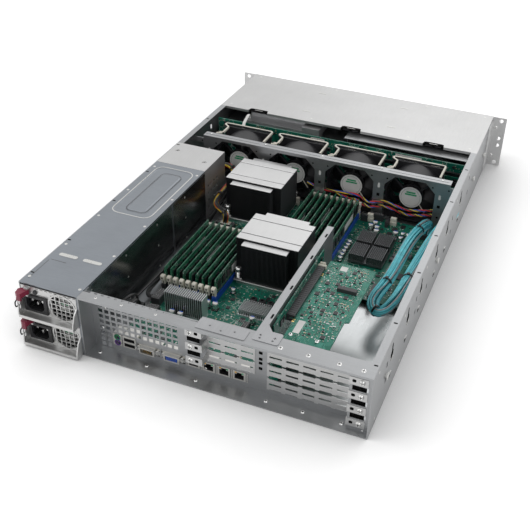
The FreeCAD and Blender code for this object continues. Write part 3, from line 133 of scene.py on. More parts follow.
# ---------------------------------------------------------------- materials
class Nodes:
    """Short calls for building one material's node tree."""

    def __init__(self, name):
        """An empty material with its shader and object coordinates at hand."""
        self.material = bpy.data.materials.new(name)
        self.material.use_nodes = True
        self.tree = self.material.node_tree
        self.shader = self.tree.nodes["Principled BSDF"]
        self.coords = self.add("ShaderNodeTexCoord").outputs["Object"]

    def add(self, kind, inputs=(), **settings):
        """A node with the given settings and the given numbers on its sockets."""
        node = self.tree.nodes.new(kind)
        for key, value in settings.items():
            setattr(node, key, value)
        for socket, number in inputs:
            node.inputs[socket].default_value = number
        return node

    def link(self, output, socket):
        """Join two sockets."""
        self.tree.links.new(output, socket)

    def scaled(self, scale):
        """Object coordinates stretched by (x, y, z)."""
        mapping = self.add("ShaderNodeMapping", [("Scale", scale)])
        self.link(self.coords, mapping.inputs["Vector"])
        return mapping.outputs["Vector"]

    def noise(self, scale, detail=3.0, where=None, roughness=0.55):
        """Soft noise, about 0.5 on average."""
        numbers = [("Scale", scale), ("Detail", detail), ("Roughness", roughness)]
        node = self.add("ShaderNodeTexNoise", numbers)
        self.link(where or self.coords, node.inputs["Vector"])
        return node.outputs["Fac"]

    def voronoi(self, scale, feature="F1", distance="EUCLIDEAN"):
        """A cell pattern."""
        node = self.add("ShaderNodeTexVoronoi", [("Scale", scale)], feature=feature)
        if feature != "DISTANCE_TO_EDGE":
            node.distance = distance
        self.link(self.coords, node.inputs["Vector"])
        return node

    def range(self, value, low, high, to_low=0.0, to_high=1.0):
        """A value carried from one range to another and held inside it."""
        numbers = [("From Min", low), ("From Max", high), ("To Min", to_low), ("To Max", to_high)]
        node = self.add("ShaderNodeMapRange", numbers)
        self.link(value, node.inputs["Value"])
        return node.outputs["Result"]

    def math(self, operation, a, b=None):
        """One step of arithmetic on numbers or sockets."""
        node = self.add("ShaderNodeMath", operation=operation)
        for socket, value in zip(node.inputs, (a, b)):
            if isinstance(value, (int, float)):
                socket.default_value = value
            elif value is not None:
                self.link(value, socket)
        return node.outputs[0]

    def mix(self, factor, a, b):
        """Colour a where factor is 0 and b where it is 1; a and b are colours or sockets."""
        node = self.add("ShaderNodeMix", data_type="RGBA")
        self.link(factor, node.inputs["Factor"])
        for socket, value in ((node.inputs[6], a), (node.inputs[7], b)):
            if isinstance(value, tuple):
                socket.default_value = (*value, 1)
            else:
                self.link(value, socket)
        return node.outputs[2]

    def bump(self, height, strength, distance):
        """Relief on the surface."""
        node = self.add("ShaderNodeBump", [("Strength", strength), ("Distance", distance)])
        self.link(height, node.inputs["Height"])
        self.link(node.outputs["Normal"], self.shader.inputs["Normal"])

    def finish(self, colour, roughness, metallic=0.0, specular=0.5):
        """Set the shader and hand over the material; colour and roughness may be sockets."""
        for name, value in (("Base Color", colour), ("Roughness", roughness)):
            socket = self.shader.inputs[name]
            if isinstance(value, float):
                socket.default_value = value
            else:
                self.link(value, socket)
        self.shader.inputs["Metallic"].default_value = metallic
        self.shader.inputs["Specular IOR Level"].default_value = specular
        return self.material


def shade(colour, factor):
    """A colour made lighter or darker."""
    return tuple(min(c * factor, 1.0) for c in colour)


GRAIN_X = (6, 160, 160)
GRAIN_Y = (160, 6, 160)
GRAIN_Z = (120, 120, 6)
EVEN = (60, 60, 60)


def sheet_metal(name, colour, roughness=0.34, grain=GRAIN_X, vary=0.10, metallic=0.85):
    """Plated sheet: a soft rolling grain along one axis, cloudy patches and faint handling marks."""
    n = Nodes(name)
    lines = n.noise(9.0, 4.0, n.scaled(grain), 0.6)
    clouds = n.noise(22.0, 3.0)
    marks = n.range(n.noise(160.0, 2.0), 0.62, 0.72)
    tone = n.math("ADD", n.math("MULTIPLY", lines, 0.6), n.math("MULTIPLY", clouds, 0.4))
    tone = n.range(tone, 0.3, 0.7)
    base = n.mix(tone, shade(colour, 1 - vary), shade(colour, 1 + vary))
    scuffed = n.math("ADD", tone, n.math("MULTIPLY", marks, 0.4))
    rough = n.range(scuffed, 0.0, 1.4, roughness - 0.06, roughness + 0.12)
    n.bump(lines, 0.10, 0.0002)
    return n.finish(base, rough, metallic)


def moulded(name, colour, roughness=0.42, grain=1400.0):
    """Moulded plastic: a fine even texture and a slight change of tone."""
    n = Nodes(name)
    texture = n.noise(grain, 2.0)
    tone = n.range(n.noise(35.0, 2.0), 0.3, 0.7)
    base = n.mix(tone, shade(colour, 0.9), shade(colour, 1.1))
    rough = n.range(texture, 0.3, 0.7, roughness - 0.05, roughness + 0.08)
    n.bump(texture, 0.25, 0.0001)
    return n.finish(base, rough)


def painted_shade_finish(name, colour):
    """Painted shade: the dark of an open hole, gap or groove, black, rough and without a sheen."""
    n = Nodes(name)
    tone = n.range(n.noise(300.0, 2.0), 0.3, 0.7)
    return n.finish(n.mix(tone, colour, shade(colour, 2)), 0.95, 0.0, 0.0)


def circuit(name, mask, trace, density=1.0):
    """Solder mask over copper: rectangular runs of fine traces, vias, pads and printed outlines."""
    n = Nodes(name)
    cells = n.voronoi(60.0 * density, distance="CHEBYCHEV")
    pick = n.add("ShaderNodeSeparateColor")
    n.link(cells.outputs["Color"], pick.inputs["Color"])
    xyz = n.add("ShaderNodeSeparateXYZ")
    n.link(n.coords, xyz.inputs["Vector"])
    along_x = n.math("SINE", n.math("MULTIPLY", xyz.outputs["X"], 5200.0 * density))
    along_y = n.math("SINE", n.math("MULTIPLY", xyz.outputs["Y"], 5200.0 * density))
    way = n.math("GREATER_THAN", pick.outputs["Red"], 0.5)
    lines = n.math("ADD", n.math("MULTIPLY", along_x, way),
                   n.math("MULTIPLY", along_y, n.math("SUBTRACT", 1.0, way)))
    traces = n.math("MULTIPLY", n.range(lines, 0.1, 0.5), n.math("GREATER_THAN", pick.outputs["Green"], 0.35))
    board = n.mix(traces, mask, trace)
    poured = n.math("GREATER_THAN", pick.outputs["Blue"], 0.72)
    board = n.mix(n.math("MULTIPLY", poured, 0.5), board, trace)
    vias = n.voronoi(330.0 * density)
    via = n.math("MULTIPLY", n.range(vias.outputs["Distance"], 0.22, 0.16),
                 n.math("GREATER_THAN", n.noise(45.0, 2.0), 0.48))
    board = n.mix(via, board, (0.55, 0.56, 0.48))
    edges = n.voronoi(95.0 * density, "DISTANCE_TO_EDGE")
    printed = n.math("MULTIPLY", n.range(edges.outputs["Distance"], 0.035, 0.02),
                     n.math("GREATER_THAN", n.noise(38.0, 1.0, n.scaled((1, 1.3, 1))), 0.54))
    board = n.mix(n.math("MULTIPLY", printed, 0.55), board, (0.62, 0.70, 0.66))
    n.bump(traces, 0.35, 0.0001)
    return n.finish(board, 0.32, 0.0, 0.3)


def cable_jacket(name, colour):
    """Soft jacket with a fine streaked texture and scuffed tone."""
    n = Nodes(name)
    streak = n.noise(700.0, 2.0)
    tone = n.range(n.noise(90.0, 2.0), 0.3, 0.7)
    base = n.mix(tone, shade(colour, 0.82), shade(colour, 1.15))
    n.bump(streak, 0.15, 0.0001)
    return n.finish(base, 0.38)


def burnished(name, colour, roughness):
    """Polished plated sheet that mirrors what is beside it, with long soft smears."""
    n = Nodes(name)
    smear = n.noise(7.0, 3.0, n.scaled((1, 4, 9)))
    fine = n.noise(60.0, 3.0, n.scaled((8, 1, 8)))
    base = n.mix(n.range(smear, 0.35, 0.65), shade(colour, 0.92), shade(colour, 1.06))
    rough = n.range(n.math("ADD", smear, fine), 0.7, 1.3, roughness - 0.03, roughness + 0.05)
    n.bump(fine, 0.012, 0.0001)
    return n.finish(base, rough, 1.0)


# each maker's finishes: the name, then what the maker takes
STOCK = {
    sheet_metal: (
        ("chassis_steel", (0.345, 0.352, 0.36)),
        ("cover_steel", (0.53, 0.53, 0.528), 0.38, GRAIN_Y),
        ("cage_steel", (0.25, 0.27, 0.295), 0.36),
        ("supply_case", (0.58, 0.58, 0.575), 0.36),
        ("ear_metal", (0.62, 0.62, 0.62), 0.42, GRAIN_Z, 0.06, 0.7),
        ("port_metal", (0.62, 0.61, 0.58), 0.3),
        ("fin_aluminium", (0.72, 0.73, 0.74), 0.34, GRAIN_Y, 0.06),
        ("mount_steel", (0.55, 0.55, 0.54), 0.3),
        ("drive_sleeve", (0.52, 0.52, 0.53), 0.4),
        ("bracket_steel", (0.37, 0.375, 0.385), 0.4, GRAIN_Y),
        # painted shade: aluminium fins painted near black for the shade between them
        ("dark_fins", (0.07, 0.072, 0.078), 0.4, GRAIN_X, 0.1, 0.6),
        ("bright_steel", (0.74, 0.74, 0.73), 0.24, EVEN, 0.08, 0.9),
        ("bright_top", (0.60, 0.60, 0.60), 0.42, GRAIN_Y, 0.08, 0.9),
        ("pin_grey", (0.16, 0.165, 0.17), 0.4, EVEN, 0.08, 0.9),
        ("gold", (0.78, 0.56, 0.22), 0.28, EVEN, 0.08, 0.9),
        ("rail_stud", (0.62, 0.62, 0.60), 0.3, EVEN, 0.08, 0.9),
    ),
    moulded: (
        ("black_plastic", (0.012, 0.012, 0.014), 0.5),
        ("carrier_body", (0.07, 0.07, 0.075), 0.5),
        ("lever_plastic", (0.05, 0.05, 0.056), 0.4),
        ("burgundy_plastic", (0.23, 0.02, 0.05), 0.35),
        ("black_wire", (0.02, 0.02, 0.02), 0.3),
        ("component_dark", (0.035, 0.035, 0.038)),
        ("socket_plastic", (0.02, 0.02, 0.022), 0.4),
        ("ivory_plastic", (0.72, 0.69, 0.60)),
        ("button_plastic", (0.06, 0.06, 0.065), 0.3),
        ("package_black", (0.016, 0.016, 0.018), 0.36),
        ("tan_parts", (0.50, 0.40, 0.27), 0.5),
        ("white_parts", (0.72, 0.73, 0.72), 0.5),
        ("inductor_grey", (0.10, 0.10, 0.105), 0.55, 500.0),
        ("bare_label", (0.78, 0.78, 0.76), 0.5, 300.0),
        ("blue_plastic", (0.012, 0.075, 0.42), 0.34),
        ("green_plastic", (0.03, 0.36, 0.16)),
        ("violet_plastic", (0.17, 0.06, 0.36)),
        ("amber_plastic", (0.70, 0.36, 0.03)),
        ("blade_plastic", (0.010, 0.010, 0.012), 0.55),
        ("green_lamp", (0.10, 0.55, 0.14), 0.2),
    ),
    cable_jacket: (
        ("teal_cable", (0.13, 0.62, 0.70)),
        ("black_cable", (0.02, 0.02, 0.02)),
        ("red_wire", (0.50, 0.02, 0.02)),
        ("yellow_wire", (0.66, 0.46, 0.03)),
        ("blue_wire", (0.02, 0.09, 0.42)),
        ("grey_ribbon", (0.34, 0.35, 0.36)),
    ),
    circuit: (
        ("board_green", (0.004, 0.105, 0.070), (0.018, 0.20, 0.135)),
        ("module_green", (0.01, 0.10, 0.055), (0.035, 0.20, 0.11), 1.6),
        ("card_green", (0.004, 0.15, 0.10), (0.06, 0.32, 0.24), 2.1),
    ),
    burnished: (
        ("polished_floor", (0.47, 0.485, 0.49), 0.30),
        ("cage_lining", (0.30, 0.31, 0.32), 0.22),
    ),
    # painted shade: black laid on holes, gaps and grooves in place of the shade inside them
    painted_shade_finish: (("void_black", (0.006, 0.006, 0.006)),),
}
# the record's slot of each finish that isn't a slot itself
SLOT_OF = {
    "polished_floor": "chassis_steel", "rail_stud": "chassis_steel", "cage_lining": "cage_steel",
    "bracket_steel": "cover_steel", "card_green": "board_green", "dark_fins": "fin_aluminium",
    "bright_top": "fin_aluminium", "pin_grey": "fin_aluminium", "bright_steel": "mount_steel",
    "gold": "port_metal", "green_plastic": "port_metal", "violet_plastic": "port_metal",
    "amber_plastic": "port_metal", "package_black": "component_dark", "void_black": "component_dark",
    "tan_parts": "component_dark", "white_parts": "component_dark", "inductor_grey": "component_dark",
    "bare_label": "ivory_plastic", "blue_plastic": "socket_plastic", "blade_plastic": "black_plastic",
    "green_lamp": "lever_plastic", "red_wire": "black_cable", "yellow_wire": "black_cable",
    "blue_wire": "black_cable", "grey_ribbon": "teal_cable",
}
FINISHES = {row[0]: maker(*row) for maker, rows in STOCK.items() for row in rows}
# nodes whose finish differs a little from their slot's
OWN_FINISH = {"riser_bracket": "bracket_steel", "expansion_card": "card_green"}
# form name: the CAD node it stands for
STANDS_FOR = {
    "sockets_black": "memory_sockets", "sockets_blue": "memory_sockets", "module_boards": "memory_modules",
    "latches": "memory_latches", "cooler_fins": "cpu_heatsinks", "cooler_tops": "cpu_heatsinks",
    "chipset_cooler": "chipset_heatsinks", "board_fins": "chipset_heatsinks",
    "teal_strands": "data_cables", "harness_black": "wire_harness",
    **{f"psu_{number}_lever": f"psu_{number}_latch" for number in (1, 2)},
    **{f"psu_{number}_wire": f"psu_{number}_bail" for number in (1, 2)},
    **{f"fan_{number}_blades": f"fan_{number}_rotor" for number in FAN_NUMBERS},
}


def dress_nodes():
    """Give every carried-over CAD node its slot's finish, or its own."""
    slots = {part["node"]: part["material_slot"] for part in frame["record"]["subparts"]}
    for node, thing in frame["nodes"].items():
        thing.data.materials.clear()
        thing.data.materials.append(FINISHES[OWN_FINISH.get(node, slots[node])])


# ---------------------------------------------------------------- forms
def around(centre, axis, along, a, b):
    """The point that lies 'along' up the axis from a centre, and a and b across it."""
    x, y, z = centre
    if axis == "X":
        return x + along, y + a, z + b
    if axis == "Y":
        return x + a, y + along, z + b
    return x + a, y + b, z + along


def level(along):
    """A level direction square to a line, or X where the line stands upright."""
    across = Vector((0, 0, 1)).cross(along)
    return across.normalized() if across.length > 1e-6 else Vector((1, 0, 0))


def heading(line, k):
    """A line's direction at one of its points."""
    return (line[min(k + 1, len(line) - 1)] - line[max(k - 1, 0)]).normalized()


def carried(line):
    """Each point of a line with two directions across it that don't twist along the way."""
    across = level(line[1] - line[0])
    for k, point in enumerate(line):
        along = heading(line, k)
        across = (across - along * across.dot(along)).normalized()
        yield point, across, along.cross(across)


def rounded(x0, x1, y0, y1, radius, steps=4):
    """A rectangle's outline with round corners."""
    outline = []
    for x, y, start in ((x1 - radius, y1 - radius, 0), (x0 + radius, y1 - radius, 90),
                        (x0 + radius, y0 + radius, 180), (x1 - radius, y0 + radius, 270)):
        for k in range(steps + 1):
            a = math.radians(start + 90 * k / steps)
            outline.append((x + radius * math.cos(a), y + radius * math.sin(a)))
    return outline


class Form:
    """Collects closed solids, in millimetres, that become one piece of one finish."""

    def __init__(self, finish, body):
        """An empty form of a finish, riding on a body."""
        self.finish = finish
        self.body = body
        self.points = []
        self.faces = []

    def loft(self, rings, closed=False):
        """A solid through rings of equally many points, capped at both ends or closed on itself."""
        start, sides = len(self.points), len(rings[0])
        for ring in rings:
            self.points.extend(ring)
        spans = len(rings) if closed else len(rings) - 1
        for r in range(spans):
            a, b = start + r * sides, start + (r + 1) % len(rings) * sides
            self.faces += [(a + k, a + (k + 1) % sides, b + (k + 1) % sides, b + k) for k in range(sides)]
        if not closed:
            last = start + (len(rings) - 1) * sides
            self.faces.append(tuple(range(start + sides - 1, start - 1, -1)))
            self.faces.append(tuple(range(last, last + sides)))

    def box(self, low, high, chamfer=0.0):
        """A block between two corners, its upper edges cut back by the chamfer."""
        (x0, x1), (y0, y1), (z0, z1) = [sorted(pair) for pair in zip(low, high)]
        rings = [(z0, 0), (z1 - chamfer, 0)] + ([(z1, chamfer)] if chamfer else [])
        self.loft([[(x0 + c, y0 + c, z), (x1 - c, y0 + c, z), (x1 - c, y1 - c, z), (x0 + c, y1 - c, z)]
                   for z, c in rings])

    def block(self, x, y, half_x, half_y, low, high, chamfer=0.0):
        """A block centred on (x, y) between two heights."""
        self.box((x - half_x, y - half_y, low), (x + half_x, y + half_y, high), chamfer)

    def slab(self, x, z, half_x, half_z, low, high, chamfer=0.0):
        """A block centred on (x, z) between two places along Y."""
        self.box((x - half_x, low, z - half_z), (x + half_x, high, z + half_z), chamfer)

    def turned(self, centre, profile, axis="Z", sides=24):
        """A body of revolution; profile holds (radius, distance along the axis) pairs."""
        turns = [2 * math.pi * (k + 0.5) / sides for k in range(sides)]
        self.loft([[around(centre, axis, along, radius * math.cos(a), radius * math.sin(a)) for a in turns]
                   for radius, along in profile])

    def disc(self, place, radius, depth, axis="Z", sides=20):
        """A short cylinder standing on a point."""
        self.turned(place, [(radius, 0), (radius, depth)], axis, sides)

    def plate(self, outline, low, high, axis="Z"):
        """A plate cut to an outline of coordinate pairs, thick along the axis."""
        self.loft([[around((0, 0, 0), axis, t, a, b) for a, b in outline] for t in (low, high)])

    def tablet(self, a, b, half_a, half_b, radius, low, high, axis="Z"):
        """A round-cornered plate centred on (a, b), thick along the axis."""
        self.plate(rounded(a - half_a, a + half_a, b - half_b, b + half_b, radius), low, high, axis)

    def rim(self, outer, inner, low, high):
        """A raised bead between two outlines of equally many points."""
        self.loft([[(x, y, z) for x, y in line]
                   for line, z in ((outer, low), (outer, high), (inner, high), (inner, low))], closed=True)

    def ring(self, centre, inner, outer, low, high, axis="Z", sides=32):
        """A flat washer."""
        corners = ((inner, low), (outer, low), (outer, high), (inner, high))
        turns = [2 * math.pi * k / sides for k in range(sides)]
        self.loft([[around(centre, axis, along, radius * math.cos(a), radius * math.sin(a))
                    for radius, along in corners] for a in turns], closed=True)

    def strand(self, line, radius, sides=8, flat=1.0):
        """A wire of round or flattened section along a smooth line of points."""
        turns = [2 * math.pi * s / sides for s in range(sides)]
        self.loft([[point + across * (radius * math.cos(a)) + over * (radius * flat * math.sin(a))
                    for a in turns] for point, across, over in carried(line)])

    def socket(self, low, high, wall=0.4):
        """Four thin walls and a back, open towards +Y."""
        (x0, y0, z0), (x1, y1, z1) = low, high
        for corner, far in (((x0, y0, z0), (x1, y0 + wall, z1)), ((x0, y0, z0), (x0 + wall, y1, z1)),
                            ((x1 - wall, y0, z0), (x1, y1, z1)), ((x0, y0, z0), (x1, y1, z0 + wall)),
                            ((x0, y0, z1 - wall), (x1, y1, z1))):
            self.box(corner, far)

    def piece(self, name):
        """The Blender object of everything collected, on its body and with its finish."""
        mesh = bpy.data.meshes.new(name)
        mesh.from_pydata([Vector(p) * MM for p in self.points], [], self.faces)
        cleaned = bmesh.new()
        cleaned.from_mesh(mesh)
        bmesh.ops.recalc_face_normals(cleaned, faces=cleaned.faces)
        cleaned.to_mesh(mesh)
        cleaned.free()
        mesh.shade_smooth()
        mesh.set_sharp_from_angle(angle=math.radians(32))
        mesh.materials.append(FINISHES[self.finish])
        thing = bpy.data.objects.new(name, mesh)
        bpy.context.scene.collection.objects.link(thing)
        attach(thing, self.body)
        SLOT_OF.get(self.finish, self.finish)
        return thing


FORMS = {}


def form(name, finish, body="chassis"):
    """The named form, made on first use."""
    return FORMS.setdefault(name, Form(finish, body))


def smooth(points, steps=8):
    """A Catmull-Rom line through given points."""
    p = [Vector(q) for q in points]
    p = [2 * p[0] - p[1]] + p + [2 * p[-1] - p[-2]]
    line = []
    for a, b, c, d in zip(p, p[1:], p[2:], p[3:]):
        for k in range(steps):
            t = k / steps
            line.append(0.5 * (2 * b + (c - a) * t + (2 * a - 5 * b + 4 * c - d) * t * t
                               + (3 * b - a - 3 * c + d) * t ** 3))
    return line + [p[-2]]


def grid(low, high, pitch):
    """The middles of a rectangle's cells, as many each way as the pitch allows."""
    nx, ny = int((high.x - low.x) / pitch), int((high.y - low.y) / pitch)
    return [(low.x + (high.x - low.x) * (i + 0.5) / nx, low.y + (high.y - low.y) * (j + 0.5) / ny)
            for i in range(nx) for j in range(ny)]


def screw(place, radius=2.6, axis="Z", way=1):
    """A pan head with a black cross of painted shade for its recess, standing on the given point; on top of
    the case it is sunk.
    """
    height = radius * 0.55 * way
    if axis == "Z":
        place = (place[0], place[1], min(place[2], CASE_TOP - height * 1.04))
    profile = [(radius, 0), (radius, height * 0.4), (radius * 0.75, height * 0.9), (radius * 0.3, height)]
    form("screw_heads", "bright_steel").turned(place, profile, axis, 20)
    # painted shade: the black cross stands in for the shade inside the head's recess
    cross = form("screw_recesses", "black_plastic")
    long, thin = radius * 0.55, radius * 0.13
    for a, b in ((long, thin), (thin, long)):
        cross.box(around(place, axis, height * 0.7, -a, -b), around(place, axis, height * 1.04, a, b))


def screw_row(xs, d, z, radius):
    """Upright screws at one distance from the rear edge."""
    for x in xs:
        screw((x, from_rear(d), z), radius)


# ---------------------------------------------------------------- memory
SOCKET_FOOT = 4.5          # height of a memory socket's solid foot
PACKAGES = 9               # packages along a memory module
LATCH_HALF = 2.6


def memory_sockets():
    """Two-tone sockets: a foot, two side walls and a block at each end."""
    blue, black = form("sockets_blue", "blue_plastic"), form("sockets_black", "socket_plastic")
    for k, (low, high) in enumerate(islands("memory_sockets")):
        here = black if k % 3 else blue
        middle, foot = (low.x + high.x) / 2, low.z + SOCKET_FOOT
        here.box(low, (high.x, high.y, foot))
        for side, y in ((-1, low.y), (1, high.y)):
            here.box((middle + side * 0.9, low.y + 4, foot), (middle + side * 3.0, high.y - 4, high.z), 0.5)
            here.box((low.x, y, foot), (high.x, y - side * 4.2, high.z - 0.2), 0.5)


def memory_modules():
    """Notched boards with packages and small parts on both faces, some with a bare label."""
    boards, packages = form("module_boards", "module_green"), form("module_packages", "package_black")
    parts, labels = form("module_parts", "tan_parts"), form("module_labels", "bare_label")
    for k, (low, high) in enumerate(islands("memory_modules")):
        notch = [(high.y - inset, low.z + up) for inset, up in ((0, 13), (2, 14), (2, 17), (0, 18))]
        mirror = [(low.y + high.y - y, z) for y, z in reversed(notch)]
        boards.plate([(low.y, low.z), (high.y, low.z), *notch, (high.y - 1, high.z), (low.y + 1, high.z),
                      *mirror], low.x, high.x, "X")
        pitch = (high.y - low.y - 8) / PACKAGES
        for side, face in ((-1, low.x), (1, high.x)):
            for c in range(PACKAGES):
                y = low.y + 4 + pitch * (c + 0.5)
                packages.box((face, y - 4.6, low.z + 12.5), (face + side * 1.1, y + 4.6, low.z + 24.5), 0.2)
                for dy in (-5.9, 5.9):
                    parts.box((face, y + dy - 0.4, low.z + 9),
                              (face + side * 0.5, y + dy + 0.4, low.z + 10.4))
        if k % 9 in (0, 4, 7):
            y = low.y + 34 + 11 * (k % 4)
            labels.box((low.x - 1.25, y, low.z + 13.5), (low.x - 1.12, y + 40, low.z + 23.5))


def memory_latches():
    """The sockets' end latches with their thumb holes and a slit drawn as dark marks of painted shade."""
    latch, hole = form("latches", "ivory_plastic"), form("latch_holes", "package_black")
    middles = [((a.x + b.x) / 2, (a.y + b.y) / 2) for a, b in islands("memory_modules")]
    for low, high in islands("memory_latches"):
        middle = (low.x + high.x) / 2
        side = 1 if low.y > min(middles, key=lambda m: abs(m[0] - middle))[1] else -1
        y_in, y_out = (low.y, high.y) if side > 0 else (high.y, low.y)
        top = high.z
        latch.plate([(y_in, low.z), (y_in + side * 3.2, low.z), (y_in + side * 3.4, top - 9),
                     (y_in + side * 5.8, top - 8), (y_out, top - 6.5), (y_out, top - 1.2),
                     (y_out - side * 1.2, top), (y_in + side * 1.6, top), (y_in, top - 2.4)],
                    middle - LATCH_HALF, middle + LATCH_HALF, "X")
        # painted shade: dark disc for the thumb hole and a dark slit beside the socket
        hole.turned((middle, y_out, top - 3.8), [(1.25, side * -0.4), (1.25, side * FILM)], "Y", 16)
        hole.box((middle - 0.5, y_in + side * 3.3, top - 14), (middle + 0.5, y_in + side * 3.62, top - 10))


# ---------------------------------------------------------------- coolers
FIN_STEP = 1.75
FIN_HALF = 0.2             # half a processor cooler's fin thickness
NOTCH = 12.0               # side of the square cut out of each upper corner


def coolers():
    """Thin fins painted dark as painted shade under bright folded tops, with a dark plate of painted shade in
    the grooves between the tops, on a base with four spring screws.
    """
    # the fins' near-black finish is painted shade; they are the same aluminium as the tops
    fins, tops = form("cooler_fins", "dark_fins"), form("cooler_tops", "bright_top")
    base = form("cooler_bases", "mount_steel")
    for low, high in islands("cpu_heatsinks"):
        y0, y1, foot, lip = low.y, high.y, low.z + 2, high.z - 3
        width = high.x - low.x - 0.6
        raised = [(y1 - NOTCH, high.z), (y0 + NOTCH, high.z)]
        short = [(y0 + NOTCH, foot), (y1 - NOTCH, foot), *raised]
        full = [(y0, foot), (y1, foot), (y1, lip), (y1 - NOTCH, lip), *raised, (y0 + NOTCH, lip), (y0, lip)]
        count = int(width / FIN_STEP)
        for k in range(count + 1):
            x = low.x + 0.3 + width * k / count
            outline = full if low.x + NOTCH < x < high.x - NOTCH else short
            fins.plate([(y, z - 0.2) for y, z in outline], x - FIN_HALF, x + FIN_HALF, "X")
        middle = (y0 + y1) / 2
        for a, b in ((y0 + NOTCH, middle - 20), (middle - 18.4, middle + 18.4), (middle + 20, y1 - NOTCH)):
            tops.box((low.x, a, high.z - 1.1), (high.x, b, high.z), 0.35)
        for a, b in ((y0, y0 + NOTCH - 0.6), (y1 - NOTCH + 0.6, y1)):
            tops.box((low.x + NOTCH, a, lip - 1.0), (high.x - NOTCH, b, lip), 0.35)
        # painted shade: a dark plate just under the tops, showing in the grooves between them
        fins.box((low.x + 1, y0 + NOTCH + 1, high.z - 1.6), (high.x - 1, y1 - NOTCH - 1, high.z - 1.2))
        base.box(low, (high.x, y1, low.z + 1.2), 0.3)
        base.box((low.x + 4, y0 + 3, low.z + 1.2), (high.x - 4, y1 - 3, low.z + 2.6), 0.4)
        for x in (low.x + 5.5, high.x - 5.5):
            for y in (y0 + 5.5, y1 - 5.5):
                spring_screw(x, y, low.z + 3)


def spring_screw(x, y, z):
    """A screw standing in its coiled spring."""
    turns = [(3.0 + 0.9 * (k % 2), 0.75 * k) for k in range(19)]
    form("cooler_springs", "bright_steel").turned((x, y, z), turns, "Z", 16)
    screw((x, y, z + 13.6), 4.6)


def pin_field(here, low, high, pitch, half, gaps=()):
    """Upright square pins over a rectangle, leaving out those that fall in the gaps."""
    for spot in grid(low, high, pitch):
        if not any(abs(spot[axis] - place) < width for axis, place, width in gaps):
            here.block(*spot, half, half, low.z, high.z, 0.2)


def board_coolers():
    """The quartered pin cooler, the tall comb by the sockets and the low one."""
    big, *_, shallow, tall = islands("chipset_heatsinks")
    low, high = big
    dark = form("chipset_cooler", "pin_grey")
    dark.box(low, (high.x, high.y, low.z + 3))
    cross = ((0, (low.x + high.x) / 2, 1.4), (1, (low.y + high.y) / 2, 1.4))
    pin_field(dark, low + Vector((0, 0, 3)), high, 2.6, 0.75, cross)
    package = form("chipset_package", "board_green")
    package.box((low.x + 6, low.y + 14, low.z - 2), (high.x - 6, high.y - 14, low.z), 0.3)
    fins = form("board_fins", "fin_aluminium")
    low, high = tall
    fins.box(low, (high.x, high.y, low.z + 3))
    count = int((high.x - low.x) / 2.9)
    for k in range(count + 1):
        x = low.x + 0.5 + (high.x - low.x - 1) * k / count
        fins.box((x - 0.34, low.y, low.z), (x + 0.34, high.y, high.z))
    # painted shade: black blocks inside the fin stacks stand in for the shade between the fins
    gap_shade = form("fin_gap_shade", "package_black")
    gap_shade.box((low.x + 0.6, low.y + 1.2, low.z + 3), (high.x - 0.6, high.y - 1.2, high.z - 2.2))
    low, high = shallow
    fins.box(low, (high.x, high.y, low.z + 2.5))
    gap_shade.box((low.x + 1, low.y + 1, low.z + 2.5), (high.x - 1, high.y - 1, low.z + 4))
    pin_field(fins, low + Vector((0, 0, 2.5)), high, 2.9, 0.65)
    coils = form("board_coils", "package_black")
    for k in range(3):
        coils.turned((low.x + 6 + 12 * k, low.y - 8, low.z),
                     [(5, 0), (5.2, 1), (5.2, 7), (4.2, 8), (2.2, 8), (2.0, 6)], "Z", 20)


# ---------------------------------------------------------------- board
BOARD_NODES = ("board_components", "port_connectors", "memory_sockets", "memory_latches", "cpu_heatsinks",
               "heatsink_mounts", "chipset_heatsinks", "riser_card")
BOARD_TOP = span("motherboard")[1].z
BOARD_STEP = 232.0         # distance from the rear edge where the board widens
BOARD_STEP_X = -96.0
PIN_PITCH = 2.54
LEAD_PITCH = 1.3
SPARE = 0.3                # room kept round each small part
CHIP_SIZES = ((5, 4), (6, 5), (4, 3), (7, 9), (9, 9), (3, 3))
SMALL_FINISHES = (("_tan", "tan_parts"), ("_black", "package_black"), ("_white", "white_parts"))
CARD_CHIP_SIZES = ((3, 3), (4, 3), (5, 4), (6, 6))


def cells(x0, x1, y0, y1):
    """The one-millimetre cells under a rectangle."""
    across = range(math.floor(x0), math.ceil(x1))
    along = range(math.floor(y0), math.ceil(y1))
    return [(i, j) for i in across for j in along]


class Ground:
    """Free places on a board, on a grid of one millimetre."""

    def __init__(self, x0, x1, y0, y1, taken):
        """A rectangle less the boxes that are taken."""
        self.x0, self.x1, self.y0, self.y1 = x0, x1, y0, y1
        self.used = set()
        for low, high in taken:
            self.claim(low.x - 0.6, high.x + 0.6, low.y - 0.6, high.y + 0.6)

    def free(self, *edges):
        """Whether nothing stands on a rectangle yet."""
        return not self.used.intersection(cells(*edges))

    def claim(self, *edges):
        """Mark a rectangle as used."""
        self.used.update(cells(*edges))

    def place(self, width, depth, tries=12):
        """A random free centre for a part of the given size, or None."""
        half_x, half_y = width / 2, depth / 2
        for _ in range(tries):
            x = random.uniform(self.x0 + half_x + 1, self.x1 - half_x - 1)
            y = random.uniform(self.y0 + half_y + 1, self.y1 - half_y - 1)
            edges = (x - half_x - SPARE, x + half_x + SPARE, y - half_y - SPARE, y + half_y + SPARE)
            if self.free(*edges):
                self.claim(*edges)
                return x, y
        return None


def chip(prefix, x, y, z, width, depth):
    """A package with rows of leads on two sides."""
    body, leads = form(prefix + "_packages", "package_black"), form(prefix + "_leads", "bright_steel")
    body.block(x, y, width / 2 - 0.5, depth / 2, z, z + 1.2, 0.15)
    for k in range(int(depth / LEAD_PITCH)):
        leads.block(x, y - depth / 2 + 0.7 + LEAD_PITCH * k, width / 2, 0.25, z, z + 0.5)


